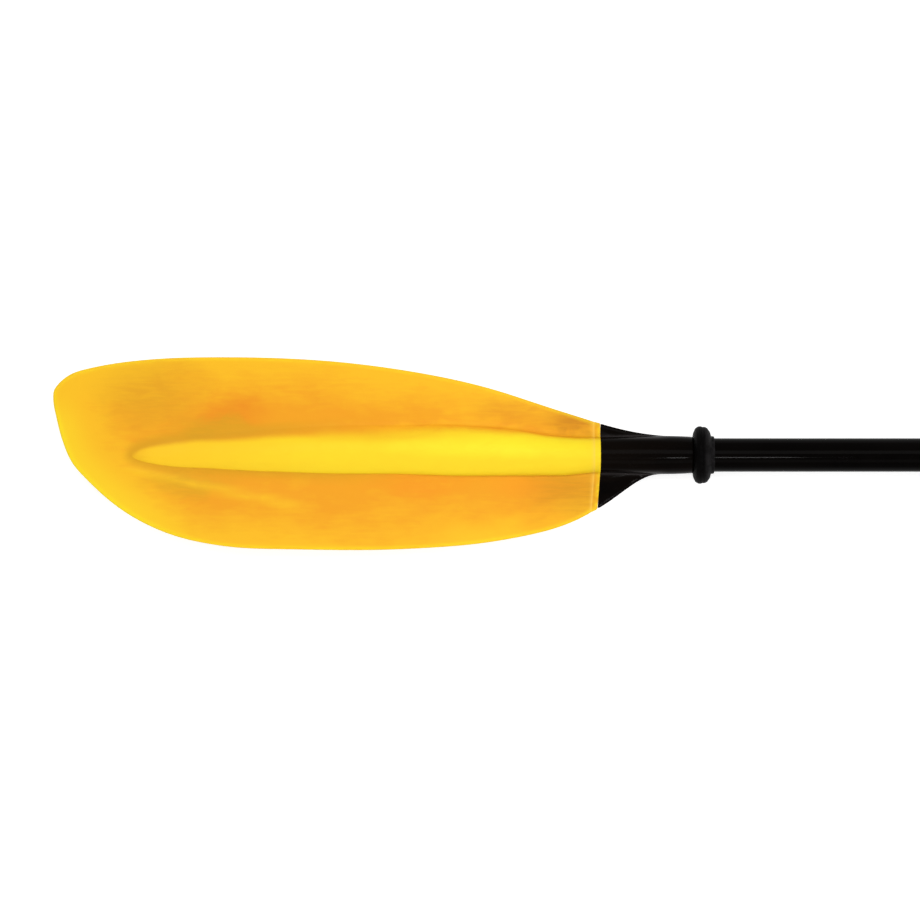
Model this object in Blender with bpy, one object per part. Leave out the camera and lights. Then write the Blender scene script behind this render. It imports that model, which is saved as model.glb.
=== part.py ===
# Two-piece double-bladed kayak paddle, lying flat with the power faces of both blades up.
# Metres, +Z up. X runs along the shaft, with a blade tip at each end of the X extent.
# The origin lies on the ground under the middle of the paddle.

import bisect
import math

import bmesh
import bpy
from mathutils import Vector
from mathutils.geometry import interpolate_bezier

# Whole paddle
PADDLE_LENGTH = 2.200
FIT_GAP = 0.0003

# Shaft tubes
SHAFT_DIAMETER = 0.0300
SHAFT_WALL = 0.0015

# Blade in plan: its length from tip to root, and how far each edge stands from the shaft axis
BLADE_LENGTH = 0.4860
LONG_EDGE_REACH = 0.0872
SHORT_EDGE_REACH = 0.0853
TIP_SHARE = 0.545
EDGE_PARTING = 0.0220
# Points on each edge as (share of the blade's length from the tip, share of that edge's reach)
LONG_EDGE = ((1.0, 0.327), (0.894, 0.511), (0.817, 0.656), (0.597, 0.906), (0.303, 1.0), (0.175, 0.976),
             (0.076, 0.897), (0.030, 0.819), (0.0123, 0.743), (0.0013, 0.656))
SHORT_EDGE = ((0.0050, -0.407), (0.0142, -0.186), (0.033, 0.077), (0.068, 0.303), (0.121, 0.565), (0.214, 0.836),
              (0.300, 0.948), (0.453, 0.990), (0.652, 0.985), (0.821, 0.896), (0.968, 0.671), (1.0, 0.572))

# Blade in section
RIM_THICKNESS = 0.0032
RIM_ROUND = 0.0030
SPOON_RISE = 0.0220
CUP_RISE = 0.0045
CUP_FADE = 0.1600

# The seam with the throat leans to the tip over the short side's wing, and the lean fades along the blade
SEAM_LEAN = 0.0026
SEAM_LEAN_FADE = 0.0600

# Rib along the blade: where it starts, its swell to each side and the length of its rounded nose. Then the
# share of a soft wave in each side's flank, the exponent of its fade towards the root and the rows over
# which it changes round the nose, and the exponents with which the rib rises on the two faces
RIB_START = 0.0680
RIB_NOSE_LONG_SIDE = 0.0600
RIB_NOSE_SHORT_SIDE = 0.1500
RIB_RIDGE_INSET = 0.0140
RIB_SWELL_LONG_SIDE = 0.0110
RIB_SWELL_SHORT_SIDE = 0.0012
RIB_SOFT_SHARE_LONG = 0.85
RIB_SOFT_SHARE_SHORT = 0.15
RIB_SOFT_FADE = 3.0
RIB_SOFT_TURN = 6
RIB_FRONT_EXPONENT = 0.75
RIB_BACK_EXPONENT = 1.0
ROOT_RADIUS = 0.0160

# Throat: the neck moulding with its two fins, the socket for the shaft and the tongue in the blade
THROAT_LENGTH = 0.0830
NECK_RADIUS = 0.0171
NECK_END_RADIUS = 0.0164
NECK_LIP = 0.0006
LONG_FIN = 0.0650
SHORT_FIN = 0.0520
SOCKET_DEPTH = 0.0590
TONGUE_LENGTH = 0.0850
TONGUE_ROOT_WIDTH = 0.0230
TONGUE_ROOT_HEIGHT = 0.0220
TONGUE_END_WIDTH = 0.0160
TONGUE_END_HEIGHT = 0.0130

# Drip rings, each with a short hub on its grip side
RING_DIAMETER = 0.0514
RING_WIDTH = 0.0156
RING_CREST = 0.0020
RING_BLADE_SIDE = 0.0058
RING_FACE = 0.0010
RING_HUB_LENGTH = 0.0028
RING_HUB_WALL = 0.0014

# Ferrule spigot, bonded in the right tube and sliding in the left one
SPIGOT_WALL = 0.0015
SPIGOT_BONDED = 0.1200
SPIGOT_REACH = 0.2200
TIP_PLUG_STEM = 0.0150
TIP_PLUG_FLANGE = 0.0020
TIP_PLUG_HEAD = 0.0040
GUIDE_RING_WIDTH = 0.0060
GUIDE_RING_HEIGHT = 0.0018
GUIDE_RING_SPLIT = 0.0015
FLOAT_PLUG_LENGTH = 0.0300
FLOAT_PLUG_CLEAR = 0.0120

# Clamp collar round the left tube's end. The bite is the share of its wall that the ears reach into
COLLAR_LENGTH = 0.0380
COLLAR_WALL = 0.0042
COLLAR_LIP = 0.0040
COLLAR_CHAMFER = 0.0010
COLLAR_SLIT = 0.0024
TUBE_SLOT_WIDTH = 0.0024
TUBE_SLOT_LENGTH = 0.0450
EAR_WIDTH = 0.0180
EAR_HEIGHT = 0.0200
EAR_REACH = 0.0330
EAR_ROUND = 0.0020
EAR_BITE = 0.75

# Clamp bolt across the ears, and the lever that turns on its barrel nut
BOLT_OFFSET = 0.0270
BOLT_DIAMETER = 0.0040
BOLT_HEAD_DIAMETER = 0.0070
BOLT_HEAD_HEIGHT = 0.0032
BOLT_SOCKET_WIDTH = 0.0030
BOLT_SOCKET_DEPTH = 0.0018
BOLT_PAST_NUT = 0.0016
WASHER_DIAMETER = 0.0090
WASHER_THICKNESS = 0.0008
BARREL_DIAMETER = 0.0070
PLATE_LENGTH = 0.0160
PLATE_DEPTH = 0.0130
PLATE_THICKNESS = 0.0012
CAM_RADIUS = 0.0070
CAM_THROW = 0.0010
LEVER_WIDTH = 0.0180
LEVER_THICKNESS = 0.0038
LEVER_ROOT_THICKNESS = 0.0105
LEVER_CLEAR = 0.0010
LEVER_SWEEP = 50.0
LEVER_WRAP = 150.0
LEVER_FLICK_ANGLE = 25.0
LEVER_FLICK = 0.0022
LEVER_EDGE = 0.0008
LEVER_SLOT_CLEAR = 0.0006

# Mesh fineness
BLADE_ROWS = 28
ROW_EXPONENT = 1.6
RIM_EXPONENT = 1.25
TURN_WEIGHT = 0.1
WING_STEPS = 3
DOME_STEPS = 6
FIN_STEPS = 8
ARM_STEPS = 14
ROUND_STEPS = 40
SMALL_STEPS = 24
CURVE_STEPS = 16
RING_ARC_STEPS = 5
RIM_INNER_SHARE = 0.3
SHARP_ANGLE = 32.0
MERGE_DISTANCE = 1e-6
EMPTY_SIZE = 0.02
CUT_SPARE = 0.0050

# Sizes that follow from the ones above
SHAFT_RADIUS = SHAFT_DIAMETER / 2
TUBE_BORE = SHAFT_RADIUS - SHAFT_WALL
SPIGOT_RADIUS = TUBE_BORE - FIT_GAP
SPIGOT_BORE = SPIGOT_RADIUS - SPIGOT_WALL
RING_RADIUS = RING_DIAMETER / 2
HALF_LENGTH = PADDLE_LENGTH / 2
ROOT_X = HALF_LENGTH - BLADE_LENGTH
NECK_END_X = ROOT_X - THROAT_LENGTH
COLLAR_BORE = SHAFT_RADIUS + FIT_GAP
COLLAR_RADIUS = COLLAR_BORE + COLLAR_WALL
BOLT_X = -COLLAR_LENGTH / 2
EAR_TOP = EAR_HEIGHT / 2
PLATE_BOTTOM = EAR_TOP + FIT_GAP
UPRIGHT = (0, -math.pi / 2, 0)
PIVOT_Z = PLATE_BOTTOM + PLATE_THICKNESS + FIT_GAP + CAM_RADIUS + CAM_THROW

# Colours are linear, then roughness and metallic value
FINISHES = {
    "yellow_plastic": ((0.93, 0.42, 0.022), 0.38, 0.0),
    "black_plastic": ((0.006, 0.005, 0.005), 0.30, 0.0),
    "black_tube": ((0.004, 0.004, 0.004), 0.16, 0.0),
    "black_rubber": ((0.012, 0.011, 0.011), 0.62, 0.0),
    "grey_plastic": ((0.12, 0.12, 0.12), 0.45, 0.0),
    "foam": ((0.30, 0.30, 0.29), 0.90, 0.0),
    "steel": ((0.55, 0.55, 0.56), 0.28, 1.0),
    "white_plastic": ((0.70, 0.70, 0.68), 0.40, 0.0),
}


def clear_scene():
    for item in list(bpy.data.objects):
        bpy.data.objects.remove(item, do_unlink=True)


def make_finish(name, kind):
    colour, roughness, metallic = FINISHES[kind]
    material = bpy.data.materials.new(name)
    material.use_nodes = True
    shader = material.node_tree.nodes["Principled BSDF"]
    shader.inputs["Base Color"].default_value = (*colour, 1.0)
    shader.inputs["Roughness"].default_value = roughness
    shader.inputs["Metallic"].default_value = metallic
    material.diffuse_color = (*colour, 1.0)
    return material


def add_empty(name, parent=None, location=(0, 0, 0)):
    empty = bpy.data.objects.new(name, None)
    empty.empty_display_size = EMPTY_SIZE
    bpy.context.scene.collection.objects.link(empty)
    empty.parent = parent
    empty.location = location
    return empty


def add_object(name, form, parent, location=(0, 0, 0), rotation=(0, 0, 0)):
    # Closes the form's seams, turns its faces out and links it under the parent.
    bmesh.ops.remove_doubles(form, verts=form.verts, dist=MERGE_DISTANCE)
    bmesh.ops.recalc_face_normals(form, faces=form.faces)
    mesh = bpy.data.meshes.new(name)
    form.to_mesh(mesh)
    form.free()
    mesh.shade_smooth()
    mesh.set_sharp_from_angle(angle=math.radians(SHARP_ANGLE))
    item = bpy.data.objects.new(name, mesh)
    bpy.context.scene.collection.objects.link(item)
    item.parent = parent
    item.location = location
    item.rotation_euler = rotation
    return item


def add_piece(name, form, kind, parent, location=(0, 0, 0), rotation=(0, 0, 0)):
    piece = add_object(name, form, parent, location, rotation)
    piece.data.materials.append(make_finish(name + "_finish", kind))
    return piece


def add_tool(name, form, parent, location=(0, 0, 0), rotation=(0, 0, 0)):
    tool = add_object(name, form, parent, location, rotation)
    tool.hide_render = True
    tool.display_type = "WIRE"
    return tool


def combine(piece, operation, tool):
    step = piece.modifiers.new(tool.name, "BOOLEAN")
    step.operation = operation
    step.solver = "EXACT"
    step.object = tool


def revolve(profile, steps=ROUND_STEPS, closed=True):
    # Turns (x, radius) points round the X axis. A closed profile makes a hollow form.
    form = bmesh.new()
    points = [form.verts.new((x, 0, radius)) for x, radius in profile]
    ends = points[1:] + points[:1] if closed else points[1:]
    edges = [form.edges.new(pair) for pair in zip(points, ends)]
    bmesh.ops.spin(form, geom=points + edges, axis=(1, 0, 0), cent=(0, 0, 0), angle=math.tau,
                   steps=steps, use_merge=True)
    return form


def tube_form(start, end, radius, bore, steps=ROUND_STEPS):
    return revolve([(start, bore), (start, radius), (end, radius), (end, bore)], steps)


def rod_form(start, end, radius, steps=SMALL_STEPS):
    return revolve([(start, 0), (start, radius), (end, radius), (end, 0)], steps, closed=False)


def box_form(low, high, rounding=0.0):
    form = bmesh.new()
    bmesh.ops.create_cube(form, size=1.0)
    size = Vector(high) - Vector(low)
    bmesh.ops.scale(form, vec=size, verts=form.verts)
    bmesh.ops.translate(form, vec=(Vector(low) + Vector(high)) / 2, verts=form.verts)
    if rounding:
        bmesh.ops.bevel(form, geom=list(form.edges), offset=rounding, segments=2, profile=0.5, affect="EDGES")
    return form


def ellipse_arc(centre, half_x, half_y, start, end, steps):
    # Points of an ellipse between two angles in degrees.
    angles = [math.radians(start + (end - start) * i / steps) for i in range(steps + 1)]
    return [(centre[0] + half_x * math.cos(a), centre[1] + half_y * math.sin(a)) for a in angles]


def smooth_through(points):
    # Cubic curve through the points. Each tangent follows the two neighbours and their spacing.
    knots = [Vector((*p, 0)) for p in points]
    spans = [(b - a).length for a, b in zip(knots, knots[1:])]
    slopes = [(b - a) / span for a, b, span in zip(knots, knots[1:], spans)]
    tangents = [slopes[0]]
    for i in range(1, len(slopes)):
        before, after = spans[i - 1], spans[i]
        tangents.append((slopes[i - 1] * after + slopes[i] * before) / (before + after))
    tangents.append(slopes[-1])
    curve = []
    for i, span in enumerate(spans):
        handle_a = knots[i] + tangents[i] * span / 3
        handle_b = knots[i + 1] - tangents[i + 1] * span / 3
        part = interpolate_bezier(knots[i], handle_a, handle_b, knots[i + 1], CURVE_STEPS + 1)
        curve += part if i == 0 else part[1:]
    return curve


def rim_points(line):
    # One point a row along an edge, from where the edges part. The rows gather where the edge turns.
    marks = [0.0]
    for i in range(1, len(line)):
        step = line[i] - line[i - 1]
        turn = step.angle(line[i - 1] - line[i - 2]) if i > 1 else 0.0
        marks.append(marks[-1] + step.length + TURN_WEIGHT * turn)
    points = []
    for row in range(BLADE_ROWS):
        mark = marks[-1] * (row / BLADE_ROWS) ** RIM_EXPONENT
        i = bisect.bisect_right(marks, mark)
        points.append(line[i - 1].lerp(line[i], (mark - marks[i - 1]) / (marks[i] - marks[i - 1])))
    return points + [line[-1].copy()]


def blade_edges():
    # The long and the short edge in plan, both from a point near the tip, in front of the rib, to the root.
    points = [(share * BLADE_LENGTH, reach * LONG_EDGE_REACH) for share, reach in LONG_EDGE]
    points.append((0.0, TIP_SHARE * LONG_EDGE_REACH))
    points += [(share * BLADE_LENGTH, -reach * SHORT_EDGE_REACH) for share, reach in SHORT_EDGE]
    curve = smooth_through(points)
    tip = min(range(len(curve)), key=lambda i: curve[i].x)
    stretch = BLADE_LENGTH / (BLADE_LENGTH - curve[tip].x)
    for point in curve:
        point.x = BLADE_LENGTH - (BLADE_LENGTH - point.x) * stretch
    parting = min(range(tip, len(curve)), key=lambda i: abs(curve[i].y - EDGE_PARTING))
    return curve[parting::-1], curve[parting:]


def smooth_step(share):
    share = min(max(share, 0.0), 1.0)
    return share * share * (3 - 2 * share)


def rib_reach(along, swell, nose):
    # How far the rib stands out to one side at a distance from the blade's tip.
    run = max(along - RIB_START, 0.0)
    share = run / (BLADE_LENGTH - RIB_START)
    taper = math.sqrt(1 - (1 - min(run / nose, 1.0)) ** 2)
    return taper * (ROOT_RADIUS + swell * math.sin(math.pi * min(share, 1.0)) ** 2)


def rib_height(along, rise):
    share = max(along - RIB_START, 0.0) / (BLADE_LENGTH - RIB_START)
    return RIM_THICKNESS / 2 + (ROOT_RADIUS - RIM_THICKNESS / 2) * share ** rise


def middle_height(point):
    # Height of the blade's middle surface: it rises to the tip and cups towards the edges.
    from_root = max(BLADE_LENGTH - point.x, 0.0)
    spoon = SPOON_RISE * (from_root / BLADE_LENGTH) ** 2
    cup = CUP_RISE * (point.y / SHORT_EDGE_REACH) ** 2 * smooth_step(from_root / CUP_FADE)
    return spoon + cup


def lean_seam(form):
    # Slides the short side's wing and fin towards the tip, most at the seam, where X is 0.
    reach = SHORT_EDGE[-1][1] * SHORT_EDGE_REACH
    for vert in form.verts:
        outward = min(max((-vert.co.y - ROOT_RADIUS) / (reach - ROOT_RADIUS), 0.0), 1.0)
        near = 1 - smooth_step(abs(vert.co.x) / SEAM_LEAN_FADE)
        vert.co.x -= SEAM_LEAN * outward * near


def wing_shares(length):
    # Shares of the way from the rim to the rib: two close steps round the rim, then even ones.
    first = min(RIM_ROUND / length, 1 / (WING_STEPS + 1))
    even = [first + (1 - first) * i / WING_STEPS for i in range(WING_STEPS + 1)]
    return [0.0, RIM_INNER_SHARE * first] + even


def rim_height(distance, half_thickness):
    # Half the plate's thickness at a distance from its rounded rim.
    if distance >= RIM_ROUND:
        return half_thickness
    return half_thickness * math.sqrt(1 - (1 - distance / RIM_ROUND) ** 2)


def dome_angles():
    return [math.pi / 2 * i / DOME_STEPS for i in range(1, DOME_STEPS + 1)]


def blade_row(rim, foot, ridge, height, softness, face):
    # One row of points over a face of the blade, from the rim over the rib's foot to its ridge.
    # The rib's flank is a quarter of an ellipse, blended with a soft wave.
    half = RIM_THICKNESS / 2
    length = (foot - rim).length
    row = []
    for share in wing_shares(length):
        point = rim.lerp(foot, share)
        row.append((point.x, point.y, middle_height(point) + face * rim_height(share * length, half)))
    for angle in dome_angles():
        share = math.cos(angle)
        point = ridge.lerp(foot, share)
        wave = (1 + math.cos(math.pi * share)) / 2
        rise = half + (height - half) * (math.sin(angle) * (1 - softness) + wave * softness)
        row.append((point.x, point.y, middle_height(point) + face * rise))
    return row


def blade_rows(face, rise):
    # Rows over one face, from the root's long side round the tip to the root's short side.
    long_rims, short_rims = (rim_points(edge) for edge in blade_edges())
    rows = []
    for i in range(-BLADE_ROWS, BLADE_ROWS + 1):
        share = (abs(i) / BLADE_ROWS) ** ROW_EXPONENT
        rims = long_rims[abs(i)], short_rims[abs(i)]
        even = RIB_START + (BLADE_LENGTH - RIB_START) * share
        along = even + ((rims[0].x + rims[1].x) / 2 - even) * share
        reaches = (rib_reach(along, RIB_SWELL_LONG_SIDE, RIB_NOSE_LONG_SIDE),
                   rib_reach(along, RIB_SWELL_SHORT_SIDE, RIB_NOSE_SHORT_SIDE))
        aside = (reaches[0] - reaches[1]) / 2 * smooth_step((along - RIB_START) / RIB_NOSE_LONG_SIDE)
        ridge = Vector((along + RIB_RIDGE_INSET * (1 - share) ** 2, aside, 0))
        rim = rims[0] if i <= 0 else rims[1]
        foot = Vector((along, reaches[0] if i < 0 else -reaches[1], 0))
        if i == 0:
            foot.y = 0.0
        firming = smooth_step((i + RIB_SOFT_TURN) / (2 * RIB_SOFT_TURN))
        softness = RIB_SOFT_SHARE_LONG + (RIB_SOFT_SHARE_SHORT - RIB_SOFT_SHARE_LONG) * firming
        softness *= 1 - share ** RIB_SOFT_FADE
        rows.append(blade_row(rim, foot, ridge, rib_height(ridge.x, rise), softness, face))
    return rows


def section_angles():
    # Polar angles for a round ring whose points pair with those of a finned section.
    crease = math.atan2(RIM_THICKNESS / 2, ROOT_RADIUS)
    wing = [crease * i / (WING_STEPS + 2) for i in range(WING_STEPS + 3)]
    dome = [crease + (math.pi / 2 - crease) * i / DOME_STEPS for i in range(1, DOME_STEPS + 1)]
    quarter = wing + dome
    half = quarter + [math.pi - angle for angle in quarter[-2::-1]]
    return half + [-angle for angle in half[-2:0:-1]]


def oval_ring(x, half_width, half_height):
    return [(x, half_width * math.cos(a), half_height * math.sin(a)) for a in section_angles()]


def join_rings(form, rings):
    # Skins a chain of equal rings and returns their vertices.
    loops = [[form.verts.new(point) for point in ring] for ring in rings]
    for first, second in zip(loops, loops[1:]):
        for i in range(len(first)):
            j = (i + 1) % len(first)
            form.faces.new((first[i], first[j], second[j], second[i]))
    return loops


def face_rows(form, rows):
    lines = [[form.verts.new(point) for point in row] for row in rows]
    for first, second in zip(lines, lines[1:]):
        for i in range(len(first) - 1):
            form.faces.new((first[i], first[i + 1], second[i + 1], second[i]))


def blade_form():
    # The blade with its pocket for the tongue. X runs from the root's face towards the shaft.
    form = bmesh.new()
    front = blade_rows(1, RIB_FRONT_EXPONENT)
    back = blade_rows(-1, RIB_BACK_EXPONENT)
    face_rows(form, front)
    face_rows(form, back)
    root_ring = front[0] + front[-1][-2::-1] + back[-1][1:] + back[0][-2:0:-1]
    mouth = oval_ring(BLADE_LENGTH, TONGUE_ROOT_WIDTH / 2 + FIT_GAP, TONGUE_ROOT_HEIGHT / 2 + FIT_GAP)
    pocket_end = BLADE_LENGTH - TONGUE_LENGTH - FIT_GAP
    end = oval_ring(pocket_end, TONGUE_END_WIDTH / 2 + FIT_GAP, TONGUE_END_HEIGHT / 2 + FIT_GAP)
    loops = join_rings(form, [root_ring, mouth, end])
    form.faces.new(loops[-1])
    bmesh.ops.translate(form, vec=(-BLADE_LENGTH, 0, 0), verts=form.verts)
    lean_seam(form)
    return form


def neck_radius(from_root):
    if from_root <= LONG_FIN:
        return ROOT_RADIUS + (NECK_RADIUS - ROOT_RADIUS) * smooth_step(from_root / LONG_FIN)
    share = (from_root - LONG_FIN) / (THROAT_LENGTH - LONG_FIN)
    return NECK_RADIUS + (NECK_END_RADIUS - NECK_RADIUS) * share


def fin_reach(from_root, edge, length):
    # Reach of a fin: it carries on the blade's edge and runs out on the neck.
    share = from_root / length
    if share >= 1.0:
        return 0.0
    start = abs(edge[-1].y)
    slope = (abs(edge[-1].y) - abs(edge[-2].y)) / (edge[-1].x - edge[-2].x)
    fall = (1 + 2 * share) * (1 - share) ** 2
    lead = share * (1 - share) ** 2
    return start * fall + slope * length * lead + NECK_RADIUS * (1 - fall)


def neck_quarter(reach, radius):
    # Quarter of a neck section as (across, up) points, from the fin's rim to the ridge.
    if reach < radius + FIT_GAP:
        quarter = section_angles()[:WING_STEPS + DOME_STEPS + 3]
        return [(radius * math.cos(a), radius * math.sin(a)) for a in quarter]
    half = RIM_THICKNESS / 2
    length = reach - radius
    points = [(reach - share * length, rim_height(share * length, half)) for share in wing_shares(length)]
    dome = [(radius * math.cos(a), half + (radius - half) * math.sin(a)) for a in dome_angles()]
    return points + dome


def neck_ring(x):
    long_edge, short_edge = blade_edges()
    radius = neck_radius(x)
    long_side = neck_quarter(fin_reach(x, long_edge, LONG_FIN), radius)
    short_side = neck_quarter(fin_reach(x, short_edge, SHORT_FIN), radius)
    front = [(x, y, z) for y, z in long_side] + [(x, -y, z) for y, z in short_side[-2::-1]]
    back = [(x, -y, -z) for y, z in short_side[1:]] + [(x, y, -z) for y, z in long_side[-2:0:-1]]
    return front + back


def throat_form():
    # Tongue, fins, neck and socket in one skin. X runs from the root's face towards the shaft.
    form = bmesh.new()
    tongue = [oval_ring(FIT_GAP - TONGUE_LENGTH, TONGUE_END_WIDTH / 2, TONGUE_END_HEIGHT / 2),
              oval_ring(FIT_GAP, TONGUE_ROOT_WIDTH / 2, TONGUE_ROOT_HEIGHT / 2)]
    fins = [neck_ring(FIT_GAP + (LONG_FIN - FIT_GAP) * i / FIN_STEPS) for i in range(FIN_STEPS + 1)]
    neck_end = THROAT_LENGTH - NECK_LIP
    socket = SHAFT_RADIUS + FIT_GAP
    lip = NECK_END_RADIUS - NECK_LIP
    end = [oval_ring(neck_end, NECK_END_RADIUS, NECK_END_RADIUS), oval_ring(THROAT_LENGTH, lip, lip),
           oval_ring(THROAT_LENGTH, socket, socket), oval_ring(THROAT_LENGTH - SOCKET_DEPTH, socket, socket)]
    loops = join_rings(form, tongue + fins + end)
    form.faces.new(loops[0])
    form.faces.new(loops[-1])
    lean_seam(form)
    return form


def drip_ring_form():
    # Turned rubber ring with an oval rim, steeper on the blade's side, and a hub on the grip side.
    bore = SHAFT_RADIUS + FIT_GAP
    foot = bore + RING_FACE
    crest_end = RING_BLADE_SIDE + RING_CREST
    blade_side = ellipse_arc((RING_BLADE_SIDE, foot), RING_BLADE_SIDE, RING_RADIUS - foot, 180, 90, RING_ARC_STEPS)
    grip_side = ellipse_arc((crest_end, foot), RING_WIDTH - crest_end, RING_RADIUS - foot, 90, 0, RING_ARC_STEPS)
    hub_end = RING_WIDTH + RING_HUB_LENGTH
    hub = [(RING_WIDTH, bore + RING_HUB_WALL), (hub_end, bore + RING_HUB_WALL), (hub_end, bore)]
    return revolve([(0.0, bore)] + blade_side + grip_side[:-1] + hub)


def mirrored(form, side):
    # Both halves are drawn for the left one. The right one is its mirror image.
    if side == "right":
        bmesh.ops.scale(form, vec=(-1, 1, 1), verts=form.verts)
    return form


def add_half(side, axis):
    # Blade, throat and drip ring of one half.
    sign = -1 if side == "left" else 1
    add_piece(side + "_blade", mirrored(blade_form(), side), "yellow_plastic", axis, (sign * ROOT_X, 0, 0))
    add_piece(side + "_throat", mirrored(throat_form(), side), "black_plastic", axis, (sign * ROOT_X, 0, 0))
    seat = sign * (NECK_END_X - FIT_GAP)
    add_piece(side + "_drip_ring", mirrored(drip_ring_form(), side), "black_rubber", axis, (seat, 0, 0))


def add_left_tube(axis):
    outer_end = NECK_END_X + SOCKET_DEPTH - FIT_GAP
    inner_end = COLLAR_LIP + FIT_GAP
    tube = add_piece("left_shaft", tube_form(-outer_end, -inner_end, SHAFT_RADIUS, TUBE_BORE), "black_tube", axis)
    slot = box_form((-inner_end - TUBE_SLOT_LENGTH, 0, -TUBE_SLOT_WIDTH / 2),
                    (CUT_SPARE, SHAFT_RADIUS + CUT_SPARE, TUBE_SLOT_WIDTH / 2))
    combine(tube, "DIFFERENCE", add_tool("tube_slot_cutter", slot, axis))


def add_right_tube(axis):
    outer_end = NECK_END_X + SOCKET_DEPTH - FIT_GAP
    add_piece("right_shaft", tube_form(FIT_GAP, outer_end, SHAFT_RADIUS, TUBE_BORE), "black_tube", axis)
    spigot = tube_form(-SPIGOT_REACH, SPIGOT_BONDED, SPIGOT_RADIUS, SPIGOT_BORE)
    add_piece("ferrule_spigot", spigot, "grey_plastic", axis)


def add_tip_plug(axis, ring_axis):
    # Plug that closes the spigot's inner end and carries the split guide ring in its groove.
    flange = -SPIGOT_REACH - FIT_GAP
    groove = flange - TIP_PLUG_FLANGE
    head = groove - GUIDE_RING_WIDTH - 2 * FIT_GAP
    nose = head - TIP_PLUG_HEAD
    stem_radius = SPIGOT_BORE - FIT_GAP
    ring_bore = SPIGOT_RADIUS - GUIDE_RING_HEIGHT
    neck = ring_bore - FIT_GAP
    profile = [(flange + FIT_GAP + TIP_PLUG_STEM, 0), (flange + FIT_GAP + TIP_PLUG_STEM, stem_radius),
               (flange, stem_radius), (flange, SPIGOT_RADIUS), (groove, SPIGOT_RADIUS), (groove, neck),
               (head, neck), (head, SPIGOT_RADIUS), (head - TIP_PLUG_HEAD / 2, SPIGOT_RADIUS),
               (nose, SPIGOT_RADIUS - TIP_PLUG_HEAD / 2), (nose, 0)]
    add_piece("spigot_tip_plug", revolve(profile, SMALL_STEPS, closed=False), "black_plastic", axis)
    ring_end = groove - FIT_GAP
    ring_form = tube_form(ring_end - GUIDE_RING_WIDTH, ring_end, SPIGOT_RADIUS, ring_bore, SMALL_STEPS)
    ring = add_piece("spigot_guide_ring", ring_form, "white_plastic", ring_axis)
    split = box_form((ring_end - GUIDE_RING_WIDTH - CUT_SPARE, -GUIDE_RING_SPLIT / 2, 0),
                     (ring_end + CUT_SPARE, GUIDE_RING_SPLIT / 2, SPIGOT_RADIUS + CUT_SPARE))
    combine(ring, "DIFFERENCE", add_tool("guide_ring_split_cutter", split, ring_axis))
    plug_end = nose - FLOAT_PLUG_CLEAR
    plug = rod_form(plug_end - FLOAT_PLUG_LENGTH, plug_end, TUBE_BORE - FIT_GAP)
    add_piece("left_float_plug", plug, "foam", ring_axis)


def add_collar(axis):
    lip_bore = SPIGOT_RADIUS + FIT_GAP
    edge = COLLAR_RADIUS - COLLAR_CHAMFER
    profile = [(-COLLAR_LENGTH, COLLAR_BORE), (-COLLAR_LENGTH, edge),
               (COLLAR_CHAMFER - COLLAR_LENGTH, COLLAR_RADIUS), (-COLLAR_CHAMFER, COLLAR_RADIUS), (0, edge),
               (0, lip_bore), (-COLLAR_LIP, lip_bore), (-COLLAR_LIP, COLLAR_BORE)]
    collar = add_piece("clamp_collar", revolve(profile), "black_plastic", axis)
    ear_root = COLLAR_RADIUS - EAR_BITE * COLLAR_WALL
    ears = box_form((BOLT_X - EAR_WIDTH / 2, ear_root, -EAR_TOP), (BOLT_X + EAR_WIDTH / 2, EAR_REACH, EAR_TOP),
                    EAR_ROUND)
    combine(collar, "UNION", add_tool("ear_block", ears, axis))
    slit = box_form((-COLLAR_LENGTH - CUT_SPARE, 0, -COLLAR_SLIT / 2),
                    (CUT_SPARE, EAR_REACH + CUT_SPARE, COLLAR_SLIT / 2))
    combine(collar, "DIFFERENCE", add_tool("collar_slit_cutter", slit, axis))
    hole = add_upright_hole("collar_bolt_hole_cutter", -EAR_TOP - CUT_SPARE, EAR_TOP + CUT_SPARE, axis)
    combine(collar, "DIFFERENCE", hole)


def add_upright_hole(name, low, high, axis):
    # Cutter for the bolt's clearance hole, along Z.
    form = rod_form(low, high, BOLT_DIAMETER / 2 + FIT_GAP, SMALL_STEPS)
    return add_tool(name, form, axis, (BOLT_X, BOLT_OFFSET, 0), UPRIGHT)


def add_bolt(axis):
    washer_top = -EAR_TOP - FIT_GAP
    washer_bottom = washer_top - WASHER_THICKNESS
    head_top = washer_bottom - FIT_GAP
    head_bottom = head_top - BOLT_HEAD_HEIGHT
    place = (BOLT_X, BOLT_OFFSET, 0)
    washer = tube_form(washer_bottom, washer_top, WASHER_DIAMETER / 2, BOLT_DIAMETER / 2 + FIT_GAP, SMALL_STEPS)
    add_piece("clamp_washer", washer, "steel", axis, place, UPRIGHT)
    end = PIVOT_Z + BOLT_PAST_NUT
    profile = [(head_bottom, 0), (head_bottom, BOLT_HEAD_DIAMETER / 2), (head_top, BOLT_HEAD_DIAMETER / 2),
               (head_top, BOLT_DIAMETER / 2), (end, BOLT_DIAMETER / 2), (end, 0)]
    bolt = add_piece("clamp_bolt", revolve(profile, SMALL_STEPS, closed=False), "steel", axis, place, UPRIGHT)
    socket = rod_form(head_bottom - CUT_SPARE, head_bottom + BOLT_SOCKET_DEPTH, BOLT_SOCKET_WIDTH / math.sqrt(3), 6)
    combine(bolt, "DIFFERENCE", add_tool("bolt_socket_cutter", socket, axis, place, UPRIGHT))


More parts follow.
